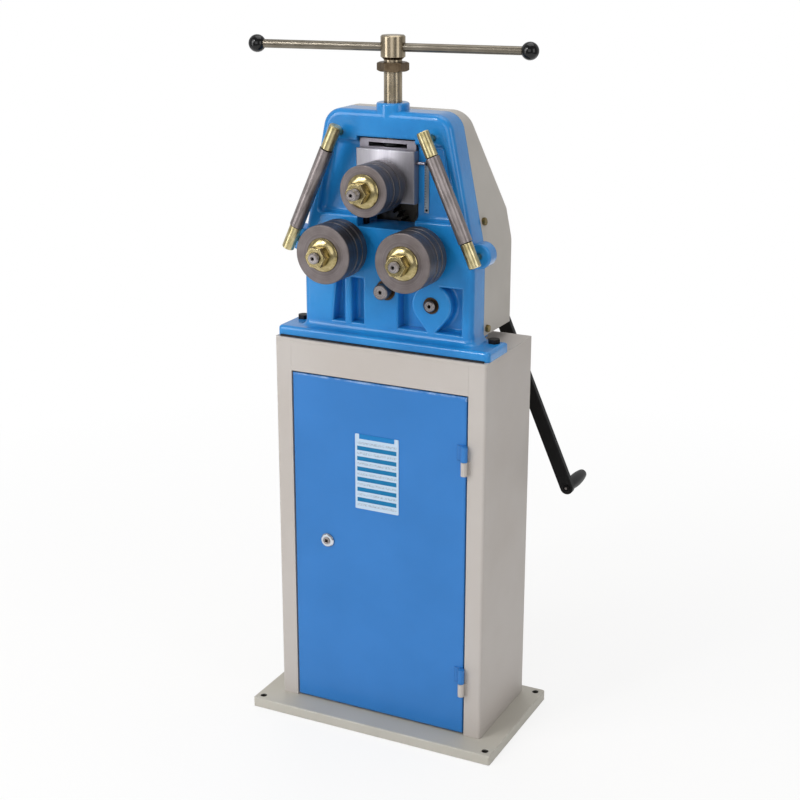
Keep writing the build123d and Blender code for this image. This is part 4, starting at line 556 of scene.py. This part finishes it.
def labelMasks(tree, look, drop, reach, halfWidth):
    # Distance to the nearest bar centre, in millimetres down the plate
    start = addNode(tree, "ShaderNodeMath", {1: look["firstMm"] - look["pitchMm"] / 2}, {0: drop},
                    operation="SUBTRACT")
    row = addNode(tree, "ShaderNodeMath", {1: look["pitchMm"]}, {0: start.outputs[0]}, operation="MODULO")
    off = addNode(tree, "ShaderNodeMath", {1: look["pitchMm"] / 2}, {0: row.outputs[0]}, operation="SUBTRACT")
    away = addNode(tree, "ShaderNodeMath", links={0: off.outputs[0]}, operation="ABSOLUTE")
    bar = addNode(tree, "ShaderNodeMath", {1: look["barMm"] / 2}, {0: away.outputs[0]}, operation="LESS_THAN")
    # Only the lower bars repeat; the top one is drawn apart
    middleDrop = look["firstMm"] + look["pitchMm"] * (look["lowerBars"] + 1) / 2
    lowerReach = look["pitchMm"] * look["lowerBars"] / 2
    fromMiddle = addNode(tree, "ShaderNodeMath", {1: middleDrop}, {0: drop}, operation="SUBTRACT")
    spread = addNode(tree, "ShaderNodeMath", links={0: fromMiddle.outputs[0]}, operation="ABSOLUTE")
    below = addNode(tree, "ShaderNodeMath", {1: lowerReach}, {0: spread.outputs[0]}, operation="LESS_THAN")
    inside = addNode(tree, "ShaderNodeMath", {1: halfWidth - look["marginMm"]}, {0: reach},
                     operation="LESS_THAN")
    lower = addNode(tree, "ShaderNodeMath", operation="MULTIPLY",
                    links={0: bar.outputs[0], 1: below.outputs[0]})
    bars = addNode(tree, "ShaderNodeMath", operation="MULTIPLY",
                   links={0: lower.outputs[0], 1: inside.outputs[0]})
    nearTop = addNode(tree, "ShaderNodeMath", {1: look["topBarMm"]}, {0: drop}, operation="LESS_THAN")
    between = addNode(tree, "ShaderNodeMath", {1: halfWidth - look["tabMm"]}, {0: reach},
                      operation="LESS_THAN")
    topBar = addNode(tree, "ShaderNodeMath", operation="MULTIPLY",
                     links={0: nearTop.outputs[0], 1: between.outputs[0]})
    ink = addNode(tree, "ShaderNodeMath", operation="MAXIMUM",
                  links={0: bars.outputs[0], 1: topBar.outputs[0]})
    # Rows half way between the bars
    rowStart = (look["pitchMm"] - look["rowMm"]) / 2
    fromRow = addNode(tree, "ShaderNodeMath", {1: rowStart}, {0: away.outputs[0]}, operation="GREATER_THAN")
    rows = addNode(tree, "ShaderNodeMath", operation="MULTIPLY",
                   links={0: fromRow.outputs[0], 1: inside.outputs[0]})
    return ink.outputs[0], topBar.outputs[0], rows.outputs[0]


def makeLabel(look):
    material, tree, shader, coords = newMaterial(look["name"])
    low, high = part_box("door_label")
    local = addNode(tree, "ShaderNodeMapping", {"Location": ((low.x + high.x) / 2, 0.0, high.z)},
                    {"Vector": coords.outputs["Object"]}, vector_type="TEXTURE")
    split = addNode(tree, "ShaderNodeSeparateXYZ", links={0: local.outputs["Vector"]})
    drop = addNode(tree, "ShaderNodeMath", {1: -1 / mm}, {0: split.outputs["Z"]}, operation="MULTIPLY")
    across = addNode(tree, "ShaderNodeMath", {1: 1 / mm}, {0: split.outputs["X"]}, operation="MULTIPLY")
    reach = addNode(tree, "ShaderNodeMath", links={0: across.outputs[0]}, operation="ABSOLUTE")
    halfWidth = (high.x - low.x) / 2 / mm
    ink, topBar, rows = labelMasks(tree, look, drop.outputs[0], reach.outputs[0], halfWidth)
    uneven = addNode(tree, "ShaderNodeTexNoise", {"Scale": perMetre(look["mottleMm"]), "Detail": 3.0},
                     {"Vector": coords.outputs["Object"]})
    inkTone = addNode(tree, "ShaderNodeMix", {6: linear(look["ink"]), 7: linear(look["inkDrift"])},
                      {0: uneven.outputs["Fac"]}, data_type="RGBA")
    headTone = addNode(tree, "ShaderNodeMix", {7: linear(look["topInk"])},
                       {0: topBar, 6: inkTone.outputs[2]}, data_type="RGBA")
    # Between the bars the plate has worn grey in specks
    specks = addNode(tree, "ShaderNodeTexNoise", {"Scale": perMetre(look["wornMm"]), "Detail": 2.0},
                     {"Vector": coords.outputs["Object"]})
    speck = addNode(tree, "ShaderNodeMapRange", paintSpans["chips"], {"Value": specks.outputs["Fac"]})
    wear = addNode(tree, "ShaderNodeMath", links={0: rows, 1: speck.outputs["Result"]}, operation="MULTIPLY")
    plate = addNode(tree, "ShaderNodeMix", {6: linear(look["colour"]), 7: linear(look["worn"])},
                    {0: wear.outputs[0]}, data_type="RGBA")
    colour = addNode(tree, "ShaderNodeMix", links={0: ink, 6: plate.outputs[2], 7: headTone.outputs[2]},
                     data_type="RGBA")
    rough = addNode(tree, "ShaderNodeMapRange", around(look["roughness"], look["gloss"]),
                    {"Value": uneven.outputs["Fac"]})
    shader.inputs["Specular IOR Level"].default_value = look["specular"]
    tree.links.new(colour.outputs[2], shader.inputs["Base Color"])
    tree.links.new(rough.outputs["Result"], shader.inputs["Roughness"])
    return material


dress(makeLabel(labelPlate), "door_label")

# Depth scale: etched aluminium strip, a line every 5 mm and a longer one every 10. Its brushing is
# drawn coarse to show

scaleStrip = {"name": "etched_aluminium_scale", "colour": "#8F9AA6", "line": "#26282B", "minorMm": 5.0,
              "lineMm": 0.7, "minorShare": 0.3, "majorShare": 0.45, "brushMm": 1.0, "roughness": 0.38,
              "gloss": 0.08, "metallic": 0.9}


def makeScale(look):
    material, tree, shader, coords = newMaterial(look["name"])
    low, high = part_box("depth_scale")
    local = addNode(tree, "ShaderNodeMapping", {"Location": tuple(low)}, {"Vector": coords.outputs["Object"]},
                    vector_type="TEXTURE")
    split = addNode(tree, "ShaderNodeSeparateXYZ", links={0: local.outputs["Vector"]})
    up = addNode(tree, "ShaderNodeMath", {1: 1 / mm}, {0: split.outputs["Z"]}, operation="MULTIPLY")
    masks = []
    for pitch, share in ((look["minorMm"], look["minorShare"]), (2 * look["minorMm"], look["majorShare"])):
        step = addNode(tree, "ShaderNodeMath", {1: pitch}, {0: up.outputs[0]}, operation="MODULO")
        line = addNode(tree, "ShaderNodeMath", {1: look["lineMm"]}, {0: step.outputs[0]},
                       operation="LESS_THAN")
        near = addNode(tree, "ShaderNodeMath", {1: (high.x - low.x) * share}, {0: split.outputs["X"]},
                       operation="LESS_THAN")
        both = addNode(tree, "ShaderNodeMath", operation="MULTIPLY",
                       links={0: line.outputs[0], 1: near.outputs[0]})
        masks.append(both.outputs[0])
    lines = addNode(tree, "ShaderNodeMath", links={0: masks[0], 1: masks[1]}, operation="MAXIMUM")
    brush = addNode(tree, "ShaderNodeTexNoise", {"Scale": perMetre(look["brushMm"]), "Detail": 2.0},
                    {"W": split.outputs["Z"]}, noise_dimensions="1D")
    rough = addNode(tree, "ShaderNodeMapRange", around(look["roughness"], look["gloss"]),
                    {"Value": brush.outputs["Fac"]})
    colour = addNode(tree, "ShaderNodeMix", {6: linear(look["colour"]), 7: linear(look["line"])},
                     {0: lines.outputs[0]}, data_type="RGBA")
    shader.inputs["Metallic"].default_value = look["metallic"]
    tree.links.new(colour.outputs[2], shader.inputs["Base Color"])
    tree.links.new(rough.outputs["Result"], shader.inputs["Roughness"])
    return material


dress(makeScale(scaleStrip), "depth_scale")
print("plate and scale done")


# Threads that show: a ridge wound round the plain CAD shank

ridgeFoot = 0.45   # half the ridge's foot as a share of the pitch, so that the turns stay apart
smoothBelow = math.radians(20)


def makeThread(spec):
    # Modelled round Z from the low end, then turned to its axis and moved to its place
    deselectAll()
    bpy.ops.mesh.primitive_circle_add(vertices=3, radius=1.0, fill_type="NGON")
    ridge = bpy.context.object
    ridge.name = spec["name"]
    half = spec["pitch"] * ridgeFoot
    corners = ((spec["radius"] - spec["sunk"], -half), (spec["radius"] + spec["height"], 0.0),
               (spec["radius"] - spec["sunk"], half))
    for vertex, (out, up) in zip(ridge.data.vertices, corners):
        vertex.co = (out, 0.0, up)
    bpy.ops.object.mode_set(mode="EDIT")
    bpy.ops.mesh.select_all(action="SELECT")
    bpy.ops.mesh.delete(type="ONLY_FACE")
    bpy.ops.object.mode_set(mode="OBJECT")
    wind = ridge.modifiers.new("wind", "SCREW")
    wind.axis = "Z"
    wind.screw_offset = spec["lead"]
    wind.iterations = max(1, int(spec["length"] / spec["lead"]))
    wind.steps = wind.render_steps = spec["steps"]
    wind.use_merge_vertices = False
    bpy.ops.object.modifier_apply(modifier=wind.name)
    bpy.ops.object.mode_set(mode="EDIT")
    bpy.ops.mesh.select_all(action="DESELECT")
    bpy.ops.mesh.select_mode(type="EDGE")
    bpy.ops.mesh.select_non_manifold()
    bpy.ops.mesh.fill()
    bpy.ops.mesh.select_all(action="SELECT")
    bpy.ops.mesh.normals_make_consistent(inside=False)
    bpy.ops.object.mode_set(mode="OBJECT")
    ridge.data.transform(Matrix.Translation(spec["start"]) @ spec["turn"])
    bpy.ops.object.shade_smooth_by_angle(angle=smoothBelow)
    ridge.data.materials.append(spec["finish"])
    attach(ridge, spec["body"])


towardsFront = Matrix.Rotation(math.radians(90), 4, "X")   # local +Z to -Y, out of the rolls
shaftThread = {"pitch": 2.5 * mm, "lead": 2.5 * mm, "radius": 10.0 * mm, "height": 0.45 * mm,
               "sunk": 0.6 * mm, "steps": 40, "chamfer": 2.5 * mm}
for side, shaft, nut, body in (("left", "left_roll_shaft", "left_nut", "left_drive"),
                               ("right", "right_roll_shaft", "right_nut", "right_drive"),
                               ("top", "top_shaft", "top_nut", "top_roller")):
    spot = middle(nut)
    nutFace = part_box(nut)[0].y
    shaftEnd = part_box(shaft)[0].y
    makeThread({**shaftThread, "name": side + "_shaft_thread", "body": body, "turn": towardsFront,
                "start": (spot.x, nutFace, spot.z), "length": nutFace - shaftEnd - shaftThread["chamfer"],
                "finish": nodes[shaft].material_slots[0].material})

# The screw's thread runs on down through its nut, so that it shows in the window when the slide is low
screwThread = {"pitch": 3.0 * mm, "lead": 6.0 * mm, "radius": 17.0 * mm, "height": 0.3 * mm,
               "sunk": 0.6 * mm, "steps": 48, "starts": 2, "plainEnd": 4.0 * mm}
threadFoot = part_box("screw_keeper")[1].z + screwThread["plainEnd"]
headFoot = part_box("screw_lock_nut")[1].z
for start in range(screwThread["starts"]):
    makeThread({**screwThread, "name": "screw_thread_" + str(start + 1), "body": "screw",
                "turn": Matrix.Rotation(2 * math.pi * start / screwThread["starts"], 4, "Z"),
                "start": (screwSpot.x, screwSpot.y, threadFoot), "length": headFoot - threadFoot,
                "finish": screwSteel})
print("threads done")


# Slotted screws at the two ends of the scale

scaleScrew = {"radius": 2.3 * mm, "head": 1.5 * mm, "edge": 0.5 * mm, "slot": 0.7 * mm,
              "slotDepth": 0.8 * mm, "endGap": 5.0 * mm, "turns": (25, -40), "sides": 32, "segments": 3,
              "smoothDegrees": 35}


def makeScaleScrew(look, name, spot, turn):
    deselectAll()
    bpy.ops.mesh.primitive_cylinder_add(vertices=look["sides"], radius=look["radius"], depth=look["head"])
    screw = bpy.context.object
    screw.name = name
    bevelWhere(screw, lambda end: end.z > 0, look["edge"], look["segments"])
    bpy.ops.mesh.primitive_cube_add(size=1.0)
    blade = bpy.context.object
    blade.data.transform(Matrix.Translation((0, 0, look["head"] / 2)) @ Matrix.Diagonal(
        (4 * look["radius"], look["slot"], 2 * look["slotDepth"], 1)))
    deselectAll()
    bpy.context.view_layer.objects.active = screw
    screw.select_set(True)
    slot = screw.modifiers.new("slot", "BOOLEAN")
    slot.object = blade
    slot.operation = "DIFFERENCE"
    bpy.ops.object.modifier_apply(modifier=slot.name)
    bpy.data.objects.remove(blade)
    driven = Matrix.Rotation(math.radians(turn), 4, "Z")
    screw.data.transform(Matrix.Translation(spot) @ towardsFront @ driven)
    bpy.ops.object.shade_smooth_by_angle(angle=math.radians(look["smoothDegrees"]))
    screw.data.materials.append(blackBolt)
    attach(screw, "stand")


stripLow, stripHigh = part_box("depth_scale")
stripX = (stripLow.x + stripHigh.x) / 2
for number, height in enumerate((stripLow.z + scaleScrew["endGap"], stripHigh.z - scaleScrew["endGap"])):
    makeScaleScrew(scaleScrew, "scale_screw_" + str(number + 1),
                   (stripX, stripLow.y - scaleScrew["head"] / 2, height), scaleScrew["turns"][number])
print("scale screws done")


# Painted shadow line: a dark bead laid along the joint between the casting's foot and the stand stands for
# the shade in that joint

shadowLineBead = {"width": 5.0 * mm, "height": 3.2 * mm, "sunk": 0.6 * mm, "endGap": 9.0 * mm, "segments": 5,
             "smoothDegrees": 40}


def makeShadowLineBead(look, name, frontY, outward):
    # A strip whose upper outer edge is rounded off to a soft bulge
    low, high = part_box("stand_top")
    length = high.x - low.x - 2 * look["endGap"]
    deselectAll()
    bpy.ops.mesh.primitive_cube_add(size=1.0)
    bead = bpy.context.object
    bead.name = name
    width, height = look["width"] + look["sunk"], look["height"] + look["sunk"]
    bead.data.transform(Matrix.Diagonal((length, width, height, 1)))
    bead.data.transform(Matrix.Translation((0, outward * (look["width"] - look["sunk"]) / 2,
                                            (look["height"] - look["sunk"]) / 2)))
    bevelWhere(bead, lambda end: end.z > 0 and end.y * outward > 0, look["height"], look["segments"])
    bead.data.transform(Matrix.Translation(((low.x + high.x) / 2, frontY, high.z)))
    bpy.ops.object.shade_smooth_by_angle(angle=math.radians(look["smoothDegrees"]))
    bead.data.materials.append(shadowLineFinish)
    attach(bead, "stand")


shadowLineFinish = plasticFinish(shadowLineBlack)
makeShadowLineBead(shadowLineBead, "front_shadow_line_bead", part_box("head_casting")[0].y, -1)
print("joint bead done")


# Floor, light and camera

def seenByEye(tree, rays):
    # One where the camera looks, straight on, by a mirror or through glass; zero for light on the pieces
    seen = addNode(tree, "ShaderNodeMath", operation="MAXIMUM",
                   links={0: rays.outputs["Is Camera Ray"], 1: rays.outputs["Is Glossy Ray"]})
    seenAll = addNode(tree, "ShaderNodeMath", operation="MAXIMUM",
                      links={0: seen.outputs[0], 1: rays.outputs["Is Transmission Ray"]})
    return seenAll.outputs[0]


floorLook = {"name": "pale_paper_floor", "size": 5.2, "dropMm": 0.5, "colour": "#F3F2F0", "nearWhite": 0.8,
             "nearMetres": 0.5, "farMetres": 2.2}


def makeFloor(look):
    deselectAll()
    bpy.ops.mesh.primitive_plane_add(size=look["size"], location=(0, 0, -look["dropMm"] * mm))
    floor = bpy.context.object
    floor.name = "floor"
    material, tree, shader, coords = newMaterial(look["name"])
    tree.nodes.remove(shader)
    paper = addNode(tree, "ShaderNodeBsdfDiffuse", {"Color": linear(look["colour"])})
    white = addNode(tree, "ShaderNodeEmission", {"Color": (1, 1, 1, 1), "Strength": 1.0})
    seen = seenByEye(tree, addNode(tree, "ShaderNodeLightPath"))
    away = addNode(tree, "ShaderNodeVectorMath", links={0: coords.outputs["Object"]}, operation="LENGTH")
    fade = addNode(tree, "ShaderNodeMapRange", {"From Min": look["nearMetres"], "From Max": look["farMetres"],
                                                "To Min": look["nearWhite"], "To Max": 1.0},
                   {"Value": away.outputs["Value"]})
    # The paper seen down the anchor holes, under the base plate, stays dark
    baseLow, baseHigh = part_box("base_plate")
    flat = addNode(tree, "ShaderNodeSeparateXYZ", links={0: coords.outputs["Object"]})
    outside = []
    for axis, low, high in (("X", baseLow.x, baseHigh.x), ("Y", baseLow.y, baseHigh.y)):
        offset = addNode(tree, "ShaderNodeMath", {1: (low + high) / 2}, {0: flat.outputs[axis]},
                         operation="SUBTRACT")
        reach = addNode(tree, "ShaderNodeMath", links={0: offset.outputs[0]}, operation="ABSOLUTE")
        beyond = addNode(tree, "ShaderNodeMath", {1: (high - low) / 2}, {0: reach.outputs[0]},
                         operation="GREATER_THAN")
        outside.append(beyond.outputs[0])
    clear = addNode(tree, "ShaderNodeMath", links={0: outside[0], 1: outside[1]}, operation="MAXIMUM")
    lit = addNode(tree, "ShaderNodeMath", links={0: fade.outputs["Result"], 1: clear.outputs[0]},
                  operation="MULTIPLY")
    share = addNode(tree, "ShaderNodeMath", links={0: seen, 1: lit.outputs[0]}, operation="MULTIPLY")
    mixed = addNode(tree, "ShaderNodeMixShader",
                    links={0: share.outputs[0], 1: paper.outputs[0], 2: white.outputs[0]})
    tree.links.new(mixed.outputs[0], tree.nodes["Material Output"].inputs["Surface"])
    floor.data.materials.append(material)


studio = {"ambient": 0.36, "dimRoom": 0.3, "backdrop": 0.6, "backdropSide": (-0.44, 0.9, 0.05),
          "dimUntil": -0.25, "whiteFrom": 0.5}


def makeWorld(look):
    # White backdrop behind the machine, a dimmer room on the camera's side, so that turned metal
    # gets its dark middle between bright edges
    world = bpy.data.worlds.new("studio")
    bpy.context.scene.world = world
    world.use_nodes = True
    tree = world.node_tree
    output = tree.nodes["World Output"]
    plain = tree.nodes["Background"]
    plain.inputs["Color"].default_value = (1, 1, 1, 1)
    plain.inputs["Strength"].default_value = look["ambient"]
    coords = addNode(tree, "ShaderNodeTexCoord")
    side = addNode(tree, "ShaderNodeVectorMath", {1: look["backdropSide"]}, {0: coords.outputs["Generated"]},
                   operation="DOT_PRODUCT")
    room = addNode(tree, "ShaderNodeMapRange",
                   {"From Min": look["dimUntil"], "From Max": look["whiteFrom"], "To Min": look["dimRoom"],
                    "To Max": look["backdrop"]},
                   {"Value": side.outputs["Value"]}, interpolation_type="SMOOTHSTEP")
    rays = addNode(tree, "ShaderNodeLightPath")
    tone = addNode(tree, "ShaderNodeMath", operation="MAXIMUM",
                   links={0: room.outputs["Result"], 1: rays.outputs["Is Camera Ray"]})
    shown = addNode(tree, "ShaderNodeBackground", {"Color": (1, 1, 1, 1)}, {"Strength": tone.outputs[0]})
    mixed = addNode(tree, "ShaderNodeMixShader",
                    links={0: seenByEye(tree, rays), 1: plain.outputs[0], 2: shown.outputs[0]})
    tree.links.new(mixed.outputs[0], output.inputs["Surface"])


# Places in metres, each softbox aimed at a height on the machine's axis, sizes as width and height
lamps = (
    {"name": "key_softbox", "place": (-1.7, -2.6, 2.7), "aim": 0.8, "size": (2.0, 2.0), "watts": 33.0},
    {"name": "front_softbox", "place": (0.9, -3.3, 1.9), "aim": 0.8, "size": (2.0, 2.0), "watts": 18.0},
    {"name": "window_softbox", "place": (-0.9, -2.3, 2.9), "aim": 0.9, "size": (0.35, 0.6), "watts": 14.0},
    {"name": "strip_softbox", "place": (-2.1, -2.5, 1.3), "aim": 1.0, "size": (1.0, 2.4), "watts": 24.0},
    {"name": "fill_softbox", "place": (2.8, -0.9, 1.7), "aim": 0.8, "size": (1.2, 2.0), "watts": 14.0},
    {"name": "top_softbox", "place": (0.2, 0.3, 3.6), "aim": 0.8, "size": (2.2, 2.2), "watts": 26.0},
    {"name": "back_softbox", "place": (-1.6, 2.6, 2.2), "aim": 0.9, "size": (1.8, 1.8), "watts": 26.0,
     "mirrored": False},
)


def makeLamps():
    for lamp in lamps:
        data = bpy.data.lights.new(lamp["name"], "AREA")
        data.shape = "RECTANGLE"
        data.size, data.size_y = lamp["size"]
        data.energy = lamp["watts"]
        light = bpy.data.objects.new(lamp["name"], data)
        bpy.context.scene.collection.objects.link(light)
        light.location = lamp["place"]
        light.visible_glossy = lamp.get("mirrored", True)
        ray = Vector((0.0, 0.0, lamp["aim"])) - Vector(lamp["place"])
        light.rotation_euler = ray.to_track_quat("-Z", "Y").to_euler()


# Matched to the photograph's view: metres, degrees, and millimetres for the lens
cameraView = {"place": (1.2843, -2.5843, 1.5976), "down": 17.51, "left": 26.01, "roll": 0.18,
              "lens": 68.616, "sensor": 36.0, "shift": (-0.01345, -0.0092)}


def makeCamera(look):
    data = bpy.data.cameras.new("camera")
    data.lens = look["lens"]
    data.sensor_width = look["sensor"]
    data.shift_x, data.shift_y = look["shift"]
    camera = bpy.data.objects.new("camera", data)
    bpy.context.scene.collection.objects.link(camera)
    turn = Matrix.Rotation(math.radians(look["left"]), 4, "Z")
    tilt = Matrix.Rotation(math.radians(90 - look["down"]), 4, "X")
    roll = Matrix.Rotation(math.radians(look["roll"]), 4, "Z")
    camera.matrix_world = Matrix.Translation(look["place"]) @ turn @ tilt @ roll
    bpy.context.scene.camera = camera


makeFloor(floorLook)
makeWorld(studio)
makeLamps()
makeCamera(cameraView)
bpy.context.scene.view_settings.view_transform = "Standard"
print("stage, light and camera done")
